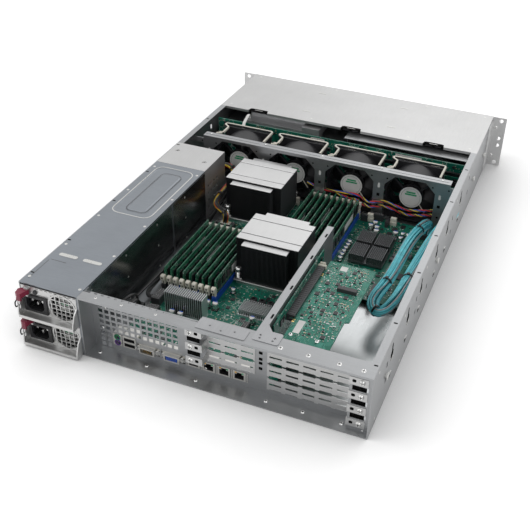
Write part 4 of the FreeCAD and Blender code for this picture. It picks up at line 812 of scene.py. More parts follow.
def small_part(prefix, x, y, z):
    """A two-ended chip resistor or capacitor."""
    long, short = random.choice(((1.6, 0.8), (2.0, 1.25), (3.2, 1.6)))
    if random.random() < 0.5:
        long, short = short, long
    form(prefix + "_ends", "bright_steel").block(x, y, long / 2, short / 2, z, z + 0.5)
    inset = 0.3 if long > short else 0.0
    name, finish = random.choice(SMALL_FINISHES)
    form(prefix + name, finish).block(x, y, long / 2 - inset, short / 2 - 0.3 + inset, z, z + 0.62)


def populate(prefix, ground, z, chips, smalls, sizes=CHIP_SIZES):
    """Scatter packages and then small parts over the free ground."""
    for _ in range(chips):
        width, depth = random.choice(sizes)
        spot = ground.place(width, depth)
        if spot:
            chip(prefix, *spot, z, width, depth)
    for _ in range(smalls):
        spot = ground.place(2.4, 2.4, 4)
        if spot:
            small_part(prefix, *spot, z)


def can(x, y, height, radius=4.05):
    """A polymer capacitor: black foot, bright can, pale top with a blue segment."""
    z = BOARD_TOP
    form("can_feet", "package_black").block(x, y, radius, radius, z, z + 1.2)
    form("can_bodies", "bright_steel").turned(
        (x, y, z + 1.2), [(radius - 0.3, 0), (radius, 0.5), (radius - 0.5, 1.4), (radius, 2.2),
                          (radius, height - 1.8), (radius - 0.4, height - 1.4)], "Z", 28)
    form("can_tops", "bare_label").turned((x, y, z + height - 0.25),
                                          [(radius - 0.5, 0), (radius - 0.6, 0.3)], "Z", 28)
    segment = [(x + (radius - 0.7) * math.cos(a), y + (radius - 0.7) * math.sin(a))
               for a in (math.radians(200 + 14 * k) for k in range(11))]
    form("can_marks", "blue_plastic").plate(segment, z + height + 0.02, z + height + 0.12)


def main_board():
    """Packages, passives, capacitors, coils and headers over the board's free places."""
    low, high = span("motherboard")
    z = BOARD_TOP
    taken = [box for node in BOARD_NODES for box in islands(node) if box[0].z < z + 12]
    for a, b in islands("board_components"):
        if abs(b.x - a.x - 8) < 0.2 and b.z - a.z > 8.5:
            can((a.x + b.x) / 2, (a.y + b.y) / 2, b.z - z + 0.15)
    ground = Ground(low.x, high.x, low.y, high.y, taken)
    ground.claim(low.x, BOARD_STEP_X + 1, from_rear(BOARD_STEP) - 1, high.y)
    for x, y in capacitor_places():
        if ground.free(x - 3.4, x + 3.4, y - 3.4, y + 3.4):
            ground.claim(x - 3.6, x + 3.6, y - 3.6, y + 3.6)
            can(x, y, 7.5, 3.2)
    for _ in range(16):
        spot = ground.place(8, 8, 30)
        if spot:
            form("inductors", "inductor_grey").block(*spot, 3.6, 3.6, z, z + 4.2, 0.5)
    populate("board", ground, z, 110, 1500)
    headers()


def capacitor_places():
    """Rows of smaller cans beside the modules, the coolers and the front edge."""
    rows = []
    for k in range(6):
        rows.append((-84.0, from_rear(306 + 9 * k)))
        rows.append((-150.0 - 8.2 * (k % 3), from_rear(390 + 12 * (k // 3))))
    for k in range(5):
        rows.append((20.0 - 8.5 * k, from_rear(332)))
        rows.append((58.0 - 9 * k, from_rear(176)))
    return rows


def headers():
    """Pins in the board's plug sockets, and the ivory plugs of the fan leads."""
    z = BOARD_TOP
    ivory, pins = form("fan_headers", "ivory_plastic"), form("header_pins", "bright_steel")
    for x, d in ((-92, 428), (-70, 430), (-128, 430), (28, 428), (-176, 436)):
        ivory.block(x, from_rear(d), 5, 3, z, z + 6, 0.4)
        ivory.block(x, from_rear(d), 4.5, 2.4, z + 6, z + 13, 0.8)
    for low, high in islands("board_components"):
        if high.z - low.z > 6.5 and high.x - low.x > 8.5:
            for spot in grid(low, high, PIN_PITCH):
                pins.block(*spot, 0.3, 0.3, high.z - 0.2, high.z + 1.6)


# ---------------------------------------------------------------- sockets
LAN_RIGHT = -55.3          # middle of the last network socket
LAN_STEP = 19.6
PANEL_FACE = REAR - 24     # rear face of the perforated panel


def port_liners():
    """The insides of the sockets: dark mouths, tongues, pins and coloured inserts."""
    dark, gold = form("port_mouths", "socket_plastic"), form("port_pins", "gold")
    metal = form("port_rims", "port_metal")
    for low, high in islands("port_connectors"):
        x, face, width = (low.x + high.x) / 2, high.y, high.x - low.x
        if width < 13:
            round_socket(x, face, low.z + 4.4, "violet_plastic", dark)
            round_socket(x, face, high.z - 4.6, "green_plastic", dark)
        elif width < 17:
            lan_socket(x, face, low.z, dark, gold)
        elif width < 20:
            for z in (low.z + 1.6, low.z + 9.6):
                dark.socket((x - 7.15, face - 11.9, z + 0.05), (x + 7.15, face - 0.2, z + 5.15))
                dark.slab(x, z + 3.75, 5.6, 0.85, face - 11, face - 1.2)
                gold.slab(x, z + 2.8, 4, 0.1, face - 10, face - 3)
        else:
            d_socket(x, face, x > 50)
    for x in (LAN_RIGHT + 9.4 + LAN_STEP * k for k in range(-1, 4)):
        metal.slab(x, 15.5, 0.5, 6.5, PANEL_FACE, PANEL_FACE + 1.1)


def round_socket(x, face, z, finish, dark):
    """A coloured ring and floor with six contact holes."""
    insert = form("port_" + finish, finish)
    insert.ring((x, face, z), 3.4, 4.0, -0.4, 0.5, "Y")
    insert.turned((x, face, z), [(4.3, -7.6), (4.3, -7)], "Y", 28)
    for a in (math.radians(60 * k + 30) for k in range(6)):
        dark.disc((x + 2.6 * math.cos(a), face - 7, z + 2.6 * math.sin(a)), 0.5, 0.1, "Y", 10)


def lan_socket(x, face, base, dark, gold):
    """A stepped mouth with eight contacts and a lamp in each lower corner."""
    low, high, back, lip = base + 1.85, base + 9.15, face - 13.5, face - 0.3
    dark.box((x - 5.85, back - 0.4, low), (x + 5.85, back, high + 2.3))
    for side in (-1, 1):
        dark.box((x + side * 5.45, back, low), (x + side * 5.85, lip, high))
        dark.box((x + side * 2.8, back, high - 0.1), (x + side * 3.15, lip, high + 2.3))
        dark.box((x + side * 3.1, back, high - 0.35), (x + side * 5.85, lip, high))
    dark.box((x - 5.85, back, low), (x + 5.85, lip, low + 0.4))
    dark.box((x - 3.1, back, high + 2.0), (x + 3.1, lip, high + 2.35))
    for k in range(8):
        gold.box((x - 3.9 + 1.1 * k, face - 12, high - 1.6), (x - 3.6 + 1.1 * k, face - 4, high - 1.2))
    for side, finish in ((-1, "green_plastic"), (1, "amber_plastic")):
        form("port_" + finish, finish).slab(x + side * 4.4, base + 11.3, 1.2, 0.9, face, face + 0.15)


def d_socket(x, tip, serial):
    """The insert of a D-shaped socket: pins in a dark well, or a blue block with its holes."""
    z, root = 15.0, tip - 5.2
    outline = [(x - 7.9, z + 2.9), (x + 7.9, z + 2.9), (x + 7.0, z - 2.9), (x - 7.0, z - 2.9)]
    if serial:
        form("port_mouths", "socket_plastic").plate(outline, root, root + 0.8, "Y")
        for row, count in ((1.3, 5), (-1.3, 4)):
            for k in range(count):
                place = (x + (k - (count - 1) / 2) * 2.77, root + 0.8, z + row)
                form("port_pins", "gold").turned(place, [(0.5, 0), (0.5, 3.6), (0.2, 4.2)], "Y", 10)
    else:
        form("port_blue", "blue_plastic").plate(outline, root, tip - 0.6, "Y")
        for row, shift in ((1.8, 0), (0, 0.5), (-1.8, 0)):
            for k in range(5):
                place = (x + (k - 2) * 2.3 + shift, tip - 0.65, z + row)
                form("port_mouths", "socket_plastic").disc(place, 0.5, 0.12, "Y", 10)
    for side in (-1, 1):
        form("port_nuts", "bright_steel").ring((x + side * 12.5, tip - 5.0, z), 1.3, 3.1, 0, 2.4, "Y", 6)


# ---------------------------------------------------------------- rear panel
SPACE_EDGE = -150          # slot covers beyond this X have their screws at the low end


def rear_panel():
    """Screws on the bridge, the floor's edge and the panel, and four dark marks of painted shade beside the
    riser.
    """
    top = span("rear_wall")[1].z
    screw_row((-25, -55), 13, top + 0.8, 2.4)
    screw_row((-40,), 9, top + 0.8, 2.4)
    screw_row((-84, -99), 15, top + 0.8, 2.8)
    screw_row((-111, -143, -178, -205), 9, top, 3.0)
    screw_row((118, 84, 40), 7, top, 1.8)
    screw_row((124, 60, -5, -94, -139, -185, -210), 11, FLOOR_TOP, 2.4)
    cover_tabs()
    # painted shade: dark patches where the panel's openings fall into shade
    marks = form("panel_gap_shade", "void_black")
    for z in (59, 50, 44, 36):
        marks.tablet(-81.75, z, 2.25, 2, 0.8, PANEL_FACE, PANEL_FACE + 2 * FILM, "Y")
    for x, z in ((118.6, 62), (124.8, 30), (-10.5, 70), (-12, 12), (-68, 26)):
        screw((x, PANEL_FACE, z), 1.7, "Y")


def cover_tabs():
    """The thumb screws of the slot covers, with their crosses, notches and windows drawn as dark marks of
    painted shade.
    """
    tabs, holes = form("cover_screws", "bright_steel"), form("tab_notches", "void_black")
    covers = islands("slot_covers")
    for low, high in covers:
        face = high.y
        if low.x < SPACE_EDGE:
            x, z0, slot_x = low.x + 7, low.z + 1.2, low.x + 16
        else:
            x, z0, slot_x = high.x - 6, low.z + 4.2, high.x - 14
        tabs.turned((x, face, z0 + 4.4), [(3.4, 0), (3.4, 0.8), (2.6, 1.7), (1.0, 1.8)], "Y", 20)
        # painted shade: a black cross in each thumb screw's recess and a dark notch beside it
        for a, b in ((2.1, 0.3), (0.3, 2.1)):
            holes.slab(x, z0 + 4.4, a, b, face + 1.55, face + 1.95)
        holes.tablet(slot_x, z0 + 4.4, 2.2, 2.0, 1.3, face, face + 0.1, "Y")
    # painted shade: a dark window behind each tab where its recess falls into shade
    for low, high in covers:
        if low.x < SPACE_EDGE:
            x0, x1, z0, z1 = low.x + 2, low.x + 20, low.z + 10.6, low.z + 17.6
        else:
            x0, x1, z0, z1 = high.x - 17, high.x - 1, low.z + 13.9, low.z + 20
        holes.box((x0, high.y - 3.4, z0), (x1, high.y - 3.0, z1))


# ---------------------------------------------------------------- supplies
SUPPLY_W = 76.0
SUPPLY_H = 40.5
INLET_IN = 19.0            # inlet's middle in from the supply's outer side
INLET_HALF_W = 12.0
INLET_HALF_H = 8.5
COLLAR_HALF_W = 16.0
COLLAR_PROUD = 2.4
CELL = 6.2                 # pitch of the fan grille's cells
CELL_HALF = 2.6


def supply(body):
    """A supply's inlet, fan grille, vents drawn as black slits of painted shade, release lever and wire loop.
    """
    low = span(body + "_module")[0]
    fan_low, fan_high = span(body + "_fan")
    inlet_x = low.x + SUPPLY_W - INLET_IN
    fan_x, fan_z = (fan_low.x + fan_high.x) / 2, (fan_low.z + fan_high.z) / 2
    inlet(body, inlet_x, low.z + 17.0)
    fan_grille(body, fan_x, fan_z)
    knob = form(body + "_knob", "black_plastic", body)
    knob.turned((inlet_x - 1, REAR, low.z + 34), [(2.9, 0), (2.9, 1.6), (2.2, 2.2), (1.0, 2.2)], "Y", 24)
    # painted shade: black slits laid on the face for the vent openings
    vents = form(body + "_inlet", "black_plastic", body)
    for x in (fan_x - 18 + 6.4 * k for k in range(9)):
        vents.slab(x, low.z + SUPPLY_H - 1.05, 2, 0.35, REAR, REAR + 0.12)
    release_lever(body)
    bail(body)


def inlet(body, x, z):
    """The mains inlet: a proud collar, two cut corners, a lined well and three pins."""
    w, h, face = INLET_HALF_W, INLET_HALF_H, REAR
    dark = form(body + "_inlet", "black_plastic", body)
    for dx, dz, half_x, half_z in ((0, h + 1.7, COLLAR_HALF_W, 1.7), (0, -h - 1.7, COLLAR_HALF_W, 1.7),
                                   (-w - 2, 0, 2, h), (w + 2, 0, 2, h)):
        dark.slab(x + dx, z + dz, half_x, half_z, face, face + COLLAR_PROUD)
    for side in (-1, 1):
        dark.plate([(x + side * w, z - h), (x + side * w, z - h + 4), (x + side * (w - 4), z - h)],
                   face - 15, face + COLLAR_PROUD, "Y")
    dark.socket((x - w + 0.05, face - 15.9, z - h + 0.05), (x + w - 0.05, face + 0.1, z + h - 0.05), 0.5)
    pins = form(body + "_pins", "bright_steel", body)
    for dx, dz in ((-7, 3), (7, 3), (0, -1.5)):
        pins.slab(x + dx, z + dz, 1.1, 2.1, face - 15, face - 2.6, 0.4)


def fan_grille(body, x, z):
    """The supply fan's rim, well, outermost cells and hub label; the cells are black patches of painted
    shade.
    """
    face = REAR
    form(body + "_rim", "supply_case", body).ring((x, face, z), 17.6, 19.4, 0, 0.7, "Y", 40)
    form(body + "_well", "package_black", body).ring((x, face, z), 18.2, 18.9, -22, -2.1, "Y", 40)
    # painted shade: black patches on the grille face for its outermost open cells
    cells = form(body + "_cells", "void_black", body)
    for a in (-CELL, 0, CELL):
        for side in (-17.0, 17.0):
            cells.tablet(x + a, z + side, CELL_HALF, 0.9, 0.4, face, face + FILM, "Y")
            cells.tablet(x + side, z + a, 0.9, CELL_HALF, 0.4, face, face + FILM, "Y")
    for a in (x - 12.2, x + 12.2):
        for b in (z - 12.2, z + 12.2):
            cells.plate([(a - 2.2, b - 2.2), (a + 2.2, b - 2.2), (a + 2.2, b + 2.2), (a - 2.2, b + 2.2)],
                        face, face + FILM, "Y")
    label_face = face - 5.2
    form(body + "_fan_label", "bare_label", body).turned(
        (x, label_face, z), [(9.8, -0.6), (9.8, -0.15), (9.4, 0)], "Y", 32)
    for half, up in ((4, 4.4), (5.5, 2.2)):
        form(body + "_fan_mark", "green_plastic", body).tablet(
            x, z + up, half, 0.8, 0.4, label_face, label_face + 0.1, "Y")


def release_lever(body):
    """The curved burgundy lever that frees the supply."""
    low, high = span(body + "_latch")
    lever = form(body + "_lever", "burgundy_plastic", body + "_latch")
    x0, x1, y0, y1 = low.x, high.x, low.y, high.y
    lever.plate([(x0, y0 + 1), (x0 + 2, y0), (x1 - 1, y0 + 1), (x1 + 2.5, y0 + 4), (x1 + 1, y1 - 2.5),
                 (x1 - 3, y1), (x0 + 3.2, y1 - 0.6)], low.z, high.z)
    lever.box((x0 + 4, y1 - 3.4, low.z - 4.5), (x1, y1 - 1.2, low.z))


def bail(body):
    """The round wire loop that holds a cord's plug in."""
    low, high = span(body + "_bail")
    x, y, far = (low.x + high.x) / 2, low.y + 0.9, high.y - 0.9
    half = [(y, 0), (y, 1.8), (y + 2.4, 3.6), (far - 1, 5.2), (far, 8)]
    upper = [(x, across, high.z - down) for across, down in half]
    lower = [(x, across, low.z + up) for across, up in reversed(half)]
    form(body + "_wire", "black_wire", body + "_bail").strand(smooth(upper + lower, 6), 0.9, 12)


# ---------------------------------------------------------------- fans
FAN_AXIS_IN = 41.5         # a fan's axis from its module's low side
FAN_AXIS_Z = 46.0
FAN_BLADES = 7
FAN_TIP = 37.3
FAN_HUB = 19.0
FAN_SCREW = 36.0           # a frame's corner holes from its axis
HOOK_HALF = 1.62           # half the width of the lifting bar
# the lifting bar's section: part of its half width, and height from its top
HOOK_SECTION = ((1, -2.75), (-1, -2.75), (-1, -0.3), (-0.8, 0.06), (0.8, 0.06), (1, -0.3))


def fans():
    """Rotors with overlapping swept blades, lifting bars, labels and leads."""
    for body in (f"fan_{number}" for number in FAN_NUMBERS):
        low, high = span(body + "_module")
        x, z, face = low.x + FAN_AXIS_IN, FAN_AXIS_Z, high.y - 0.5
        rotor(body, (x, span(body + "_rotor")[0].y + 13, z))
        frame_hook(body, x, low, high)
        form(body + "_label", "bare_label", body).turned(
            (x, face, z), [(17.4, -0.3), (17.4, 0), (16.8, 0.12)], "Y", 48)
        for half, up in ((7, 8.2), (9, 4.6)):
            form(body + "_mark", "green_plastic", body).tablet(
                x, z + up, half, 1.3, 0.6, face + 0.12, face + 0.2, "Y")
        form(body + "_label_rim", "inductor_grey", body).ring((x, face, z), 14.6, 14.9, 0.1, 0.18, "Y", 48)
        lead = ((x - 14, face - 2, z - 10), (x - 24, face - 1.5, z - 24), (x - 25, face - 6, z - 37))
        form(body + "_lead", "ivory_plastic", body).strand(smooth(lead, 6), 0.9)
        corners = form(body + "_corners", "package_black", body)
        for a in (x - FAN_SCREW, x + FAN_SCREW):
            for b in (z - FAN_SCREW, z + FAN_SCREW):
                corners.disc((a, low.y + 2, b), 2.2, -0.12, "Y")
                corners.disc((a, high.y, b), 2.2, 0.12, "Y")


def rotor(body, centre):
    """A rounded hub, its shaft, and wide blades that twist and sweep from root to tip."""
    x, y, z = centre
    here = form(body + "_blades", "blade_plastic", body + "_rotor")
    here.turned(centre, [(17.0, -13), (18.4, -12.4), (FAN_HUB, -11), (FAN_HUB, 13)], "Y", 48)
    here.turned(centre, [(1.5, 13), (1.5, 17.4)], "Y", 16)
    edge = [(-1 + k / 3, side) for side in (1, -1) for k in range(7)]
    for blade in range(FAN_BLADES):
        rings = []
        for t in (step / 6 for step in range(7)):
            radius = FAN_HUB - 1.5 + (FAN_TIP - FAN_HUB + 1.5) * t
            spread = math.radians(36 - 5 * t)
            depth = 11.6 - 2.6 * t
            start = 2 * math.pi * blade / FAN_BLADES + math.radians(16) * t * t
            ring = []
            for s, side in edge:
                s *= side
                camber = 2.2 * (1 - s * s)
                thick = side * (0.75 - 0.25 * t) * (1 - 0.7 * s * s)
                angle = start + spread * s
                ring.append((x + radius * math.cos(angle), y + depth * s + camber + thick,
                             z + radius * math.sin(angle)))
            rings.append(ring)
        here.loft(rings)


def frame_hook(body, x, low, high):
    """The pale flat bar that hooks round a fan's top for lifting it out."""
    front, rear = low.y + 0.02, high.y - 1.6
    line = [(-40, rear), (-40, front + 3), (-39, front + 1.2), (-36, front), (36, front), (40, front + 1.4),
            (40.6, front + 4), (39, front + 7), (34, front + 10.6), (32.2, front + 13), (32, front + 17),
            (32, rear - 7), (33, rear - 3.4), (36, rear - 1), (40.8, rear)]
    path = [Vector((x + a, b, 0)) for a, b in line]
    rings = []
    for k, point in enumerate(path):
        along = heading(path, k)
        side = Vector((-along.y, along.x, 0)) * HOOK_HALF
        rings.append([(*(point + side * part)[:2], high.z + up) for part, up in HOOK_SECTION])
    bar = form(body + "_hook", "ivory_plastic", body)
    bar.loft(rings)
    bar.turned((x + 36, high.y - 6, high.z - 2.6), [(3.4, 0), (3.4, 1.9), (2.9, 2.2)])


def fan_wall():
    """A groove and screws on the rail, and the holes in the posts between the fans: the groove and the square
    and round holes are dark patches of painted shade, the ovals pale patches of painted light where the
    bright backdrop shows through.
    """
    low, high = span("fan_wall")
    face, film = high.y, high.y + 0.08
    dark, pale = form("wall_holes", "void_black"), form("wall_ovals_backdrop_light", "bare_label")
    # painted shade: a dark groove along the rail's top
    for k in range(4):
        dark.tablet(low.x + 64 + 100 * k, face - 6.5, 46, 0.35, 0.3, high.z, high.z + 0.05)
    axes = [span(f"fan_{number}_module")[0].x + FAN_AXIS_IN for number in FAN_NUMBERS]
    for x in [(a + b) / 2 for a, b in zip(axes, axes[1:])] + [axes[0] + 46, axes[-1] - 46]:
        # painted light: a pale oval where the bright backdrop shows through each post; painted shade: dark
        # square and round holes
        pale.plate(rounded(x - 1.7, x + 1.7, 60, 68, 1.6, 6), face, film, "Y")
        dark.slab(x, 48.25, 2.2, 2.25, face, film)
        for dx, z, radius in ((-12, 78, 1.3), (12, 78, 1.3), (0, 30, 1.6)):
            dark.disc((x + dx, face, z), radius, film - face, "Y", 16)
        screw((x, face - 10.5, high.z), 1.7)


# ---------------------------------------------------------------- cables
WALL_LEADS = 445.3         # the fan leads' distance from the rear edge, against the fan wall
PLUG_BASE = 9.2
LEAD_COLOURS = ("red_wire", "blue_wire", "yellow_wire", "black_cable")


def strands(here, line, count, spread, radius, turns=1.5, flat=1.0):
    """Wires wound loosely round a common line, shared out among the given forms."""
    frames = list(carried(line))
    for number in range(count):
        phase = 2 * math.pi * number / count + random.uniform(-0.3, 0.3)
        off = spread * random.uniform(0.72, 1.0) if number else spread * 0.2
        wave = random.uniform(0, 2 * math.pi)
        points = []
        for k, (point, side, over) in enumerate(frames):
            t = k / (len(frames) - 1)
            angle = phase + 2 * math.pi * turns * t + 0.35 * math.sin(9 * t + wave)
            points.append(point + side * (off * math.cos(angle)) + over * (off * flat * math.sin(angle)))
        here[number % len(here)].strand(points, radius)


def ties(name, line, places, radius):
    """Black cable ties round a bundle, each with its square lock."""
    tie = form(name, "black_cable")
    section = ((radius, -1.3), (radius + 0.9, -1.3), (radius + 0.9, 1.3), (radius, 1.3))
    for place in places:
        k = int(place * (len(line) - 2)) + 1
        along = heading(line, k)
        across = level(along)
        over = along.cross(across)
        rings = []
        for angle in (2 * math.pi * step / 24 for step in range(24)):
            way = across * math.cos(angle) + over * math.sin(angle)
            rings.append([line[k] + way * r + along * a for r, a in section])
        tie.loft(rings, closed=True)
        head = line[k] + over * (radius + 1.4)
        tie.box(head - Vector((2, 2, 1)), head + Vector((2, 2, 1.4)), 0.5)


def routed(points, steps=10):
    """A smooth line through (x, d, z) points."""
    return smooth([(x, from_rear(d), z) for x, d, z in points], steps)


def drive_cables():
    """The bundle that loops back beside the side wall, with its ties."""
    bundle = routed([(-182, 416, 17.5), (-182, 414, 34), (-173, 352, 41), (-169, 258, 37), (-163, 200, 35),
                     (-176, 181, 34), (-188, 212, 36), (-194, 300, 38), (-200, 388, 38), (-209.8, 434, 37),
                     (-209.8, 470, 35), (-198, 507, 31)])
    teal, grey = form("teal_strands", "teal_cable"), form("grey_strands", "grey_ribbon")
    strands([teal, teal, teal, teal, grey], bundle, 20, 7.2, 1.35, 0.8, 0.75)
    ties("bundle_ties", bundle, (0.14, 0.29, 0.43, 0.60, 0.78), 6.6)


def plug(name, finish, x0, x1, d0, d1, top, nose):
    """A board plug between two distances from the rear edge, with a latch on its rear side."""
    here = form(name, finish)
    here.box((x0, from_rear(d0), PLUG_BASE), (x1, from_rear(d1), top), 0.8)
    (a, b), low, high, proud = nose
    here.box((a, from_rear(d1), low), (b, from_rear(d1 - proud), high), 0.3)


def supply_leads():
    """The leads from the distributor to the board, the one beside the cage and its loose loop."""
    leads = routed([(165, 359.4, 50), (165, 414, 50), (145, 427, 52.5), (126, 410, 48), (125, 365, 43),
                    (121, 333, 38.5), (99, 317, 36), (98, 316, 21.5)])
    black, yellow = form("harness_black", "black_cable"), form("harness_yellow", "yellow_wire")
    red = form("harness_red", "red_wire")
    strands([black, yellow, red, black], leads, 8, 3.3, 1.35, 1.0)
    ties("harness_ties", leads, (0.35, 0.62, 0.85), 4.0)
    plug("harness_plug", "ivory_plastic", 90, 106, 320, 312, 22, ((95, 101), 12, 19, 1.6))
    lead = routed([(155, 359.4, 36), (155, 409, 36), (137, 408, 28), (132, 352, 12), (130, 280, 9),
                   (128, 205, 9), (126, 145, 11.5), (120, 124, 13), (109.3, 122, 13)])
    strands([form("lead_black", "black_cable")], lead, 5, 2.2, 1.5, 3.0)
    loop = routed([(128, 205, 14), (131, 120, 14), (132, 84, 16), (130, 70, 26), (127, 80, 34),
                   (124, 98, 30), (122, 100, 18), (121, 84, 12), (120, 68, 18), (119, 74, 28),
                   (118, 92, 27), (117, 99, 17)], 8)
    strands([form("lead_black", "black_cable")], loop, 2, 1.6, 1.5, 1.0)
    plug("loop_plug", "black_plastic", 112.9, 121, 103, 94, 17, ((115, 119), 11, 15, 1.4))


def fan_leads():
    """Two sagging bundles of coloured wires along the fan wall."""
    colours = [form("fan_lead_" + colour, colour) for colour in LEAD_COLOURS]
    for start, drop, turns in ((18, 5, 5.0), (-30, 13, 7.0)):
        sag = [(start, 0, 47), (start - 30, 0, 41), (-62, 1, 44), (-84, 6, 39), (-108, 4, 44), (-140, 0, 36),
               (-162, 2, 40), (-184, 0, 45)]
        line = routed([(x, WALL_LEADS - clear, z - drop) for x, clear, z in sag])
        strands(colours, line, 5, 1.5, 0.85, turns)


def drive_ribbon():
    """A flat pale cable in the gap between the front cover and the fans."""
    ribbon = routed([(166, 560, 74), (163, 550, 84), (159, 530, 85.5), (156, 514, 84), (154, 506, 72),
                     (153, 503, 40)])
    form("drive_ribbon", "bare_label").strand(ribbon, 2.6, 12, 0.5)


# ---------------------------------------------------------------- riser and card
RISER_FACE = -88.8         # the riser's face towards the card space
SLOT_FACE = -88.7          # where the riser's slots end at that face


def card():
    """Parts, contacts, bare stickers and screws on the card over the card space."""
    low, high = span("expansion_card")
    z = span("riser_card")[1].z - 12.4
    edge = high.x - 0.6
    gold = form("card_contacts", "gold")
    for y in (from_rear(d) for d in (78, 81.5, 178, 181.5)):
        gold.box((edge - 7.5, y, z), (edge - 4.5, y + 2.2, z + FILM))
    x0, x1 = low.x + 5.5, edge - 8
    tall = [box for box in islands("expansion_card") if box[1].z - box[0].z > 4]
    ground = Ground(x0, x1, low.y + 2, high.y - 20, tall)
    for x, y, width, depth in ((x1 - 12, from_rear(82), 8, 24), (x1 - 24, from_rear(206), 9, 10)):
        ground.claim(x - 1, x + width + 1, y - 1, y + depth + 1)
        form("card_label", "bare_label").box((x, y, z), (x + width, y + depth, z + 0.12))
    shell, pins = form("card_plugs", "component_dark"), form("card_plug_pins", "bright_steel")
    for a, b in [(a, b) for a, b in tall if max(b.x - a.x, b.y - a.y) < 40]:
        shell.box(a - Vector((0.3, 0.3, 0)), b + Vector((0.3, 0.3, 0.3)), 0.4)
        for y in (a.y + 0.7 + 1.5 * k for k in range(int((b.y - a.y) / 1.5))):
            pins.box((a.x - 1.3, y - 0.3, z), (a.x - 0.3, y + 0.3, z + 0.9))
    populate("card", ground, z, 40, 2600, CARD_CHIP_SIZES)
    screw_row((-106, -138), 52, z + 0.9, 2.6)


def riser():
    """The riser's dark slots with their white clip, its small parts, and the bar's screws and dark marks of
    painted shade for its holes.
    """
    top = span("riser_bracket")[1].z
    outer = span("riser_card")[0].x
    screw_row((-100, -83), 20, top, 3.0)
    # painted shade: dark patches on the bar for its holes
    for d in (60, 120, 190, 245):
        form("riser_hole_shade", "void_black").tablet(-82.4, from_rear(d - 4.5), 1.2, 4.5, 1.1, top, top - 0.3)
    slot = form("riser_slot", "component_dark")
    y0, y1 = from_rear(190.3), from_rear(82.7)
    for x, z0, z1, chamfer in ((-0.1, 66.2, 69.8, 0.3), (-0.1, 71.8, 75.4, 0.3), (6, 69.8, 71.8, 0)):
        slot.box((outer + x, y0, z0), (SLOT_FACE, y1, z1), chamfer)
    for y in (from_rear(186) + 4.0 * k for k in range(26)):
        slot.box((outer + 1.5, y, 75.2), (-89.5, y + 1.6, 75.75))
    clip = form("riser_clip", "ivory_plastic")
    clip.box((outer - 1, from_rear(193.8), 66), (-89, from_rear(190.4), 77), 0.8)
    clip.box((outer + 1, from_rear(196), 72), (-91, from_rear(193.8), 79), 0.6)
    parts, dark = form("riser_parts", "white_parts"), form("riser_chips", "package_black")
    for _ in range(90):
        y, z = random.uniform(from_rear(212), from_rear(52)), random.uniform(24, 82)
        if not 62 <= z <= 78:
            parts.box((RISER_FACE, y - 0.9, z - 0.45), (RISER_FACE - 0.6, y + 0.9, z + 0.45))
    for y in (from_rear(66), from_rear(74), from_rear(205)):
        dark.box((RISER_FACE, y - 2.5, 70), (RISER_FACE - 1.4, y + 2.5, 78), 0.2)


# ---------------------------------------------------------------- cage and cover
CAGE_RIVET = [(2.0, -0.4), (1.9, 0.12), (1.2, 0.4)]
COVER_RIVET = [(2.2, -0.3), (2.1, 0.1), (1.3, 0.35)]
INNER_RIVET = [(2.2, -0.2), (2.1, 0.15), (1.3, 0.55)]
CATCHES = (151, -12, -149)  # X of the front cover's catches


def bead(here, x, half_x, d0, d1, radius, width, low, high):
    """A raised line of the given width round a rectangle with round corners."""
    y0, y1, grow = from_rear(d1), from_rear(d0), width
    here.rim(rounded(x - half_x - grow, x + half_x + grow, y0 - grow, y1 + grow, radius + grow),
             rounded(x - half_x, x + half_x, y0, y1, radius), low, high)


def cage():
    """Rivets, seams, beads and screws on the supplies' cage and the cap in front of it; the bright beads and
    lozenges are painted highlight along the pressed dish, the dark seams and creases painted shade in its
    grooves, and a dark strip at the cap's edge painted shade in the gap.
    """
    low, high = span("psu_cage")
    cap_low, cap_high = span("power_distributor")
    top = high.z
    dark, rivet = form("cage_gap_shade", "void_black"), form("cage_rivets", "rail_stud")
    for y in (from_rear(d) for d in (14, 90, 166, 242, 318)):
        for x in (low.x + 4.5, high.x - 4.5):
            rivet.turned((x, y, top), CAGE_RIVET, "Z", 20)
    for y in (from_rear(d) for d in (30, 110, 190, 270)):
        for z in (12, 45, 78):
            rivet.turned((low.x, y, z), [(1.6, 0.2), (1.6, -0.15), (0.9, -0.5)], "X", 16)
    for x, d in ((206, 378), (152, 360)):
        screw((x, from_rear(d), cap_high.z - 2.0), 2.7)
    # painted shade: a dark strip in the gap at the cap's rear edge
    dark.plate(rounded(cap_low.x + 1, cap_high.x - 1, cap_high.y + 0.02, cap_high.y + 0.24, 0.1),
               cap_high.z - 0.4, cap_high.z + 0.03)
    # painted highlight: brighter metal on the dish's bevel and pressed slots; painted shade: darker lines in
    # its grooves and seams
    raised, line = form("cage_bead_highlights", "rail_stud"), form("cage_crease_shade", "inductor_grey")
    bead(raised, 177.5, 28.9, 183.6, 321.4, 11.4, 1.4, top, top + 0.25)
    bead(line, 175.5, 15.3, 195.2, 305.8, 7.8, 0.8, top, top + 0.08)
    for x in (160.5, 194.5):
        raised.tablet(x, from_rear(68), 13, 3, 2.9, top, top + 0.3)
    line.tablet(199.65, from_rear(54), 10.95, 0.4, 0.3, top, top + 0.05)
    line.tablet(211.8, from_rear(31), 0.4, 21, 0.3, top, top + 0.05)
    lining = form("cage_lining", "cage_lining")
    for y0, y1 in ((from_rear(231), from_rear(29)), (from_rear(334), from_rear(235))):
        lining.plate(rounded(y0, y1, 3, top - 3, 4), low.x - FILM, low.x, "X")


def card_floor():
    """The bare polished floor under the card, with a few small holes drawn as dark discs of painted shade."""
    plate, film = form("bare_floor", "polished_floor"), FLOOR_TOP + FILM
    plate.plate(rounded(PAN_LOW.x + 2.2, -98.5, from_rear(230), from_rear(27), 5), FLOOR_TOP, film)
    # painted shade: dark discs for the floor's holes
    for x, d in ((-200, 60), (-200, 200), (-130, 205)):
        form("floor_holes", "void_black").disc((x, from_rear(d), film), 1.6, FILM)


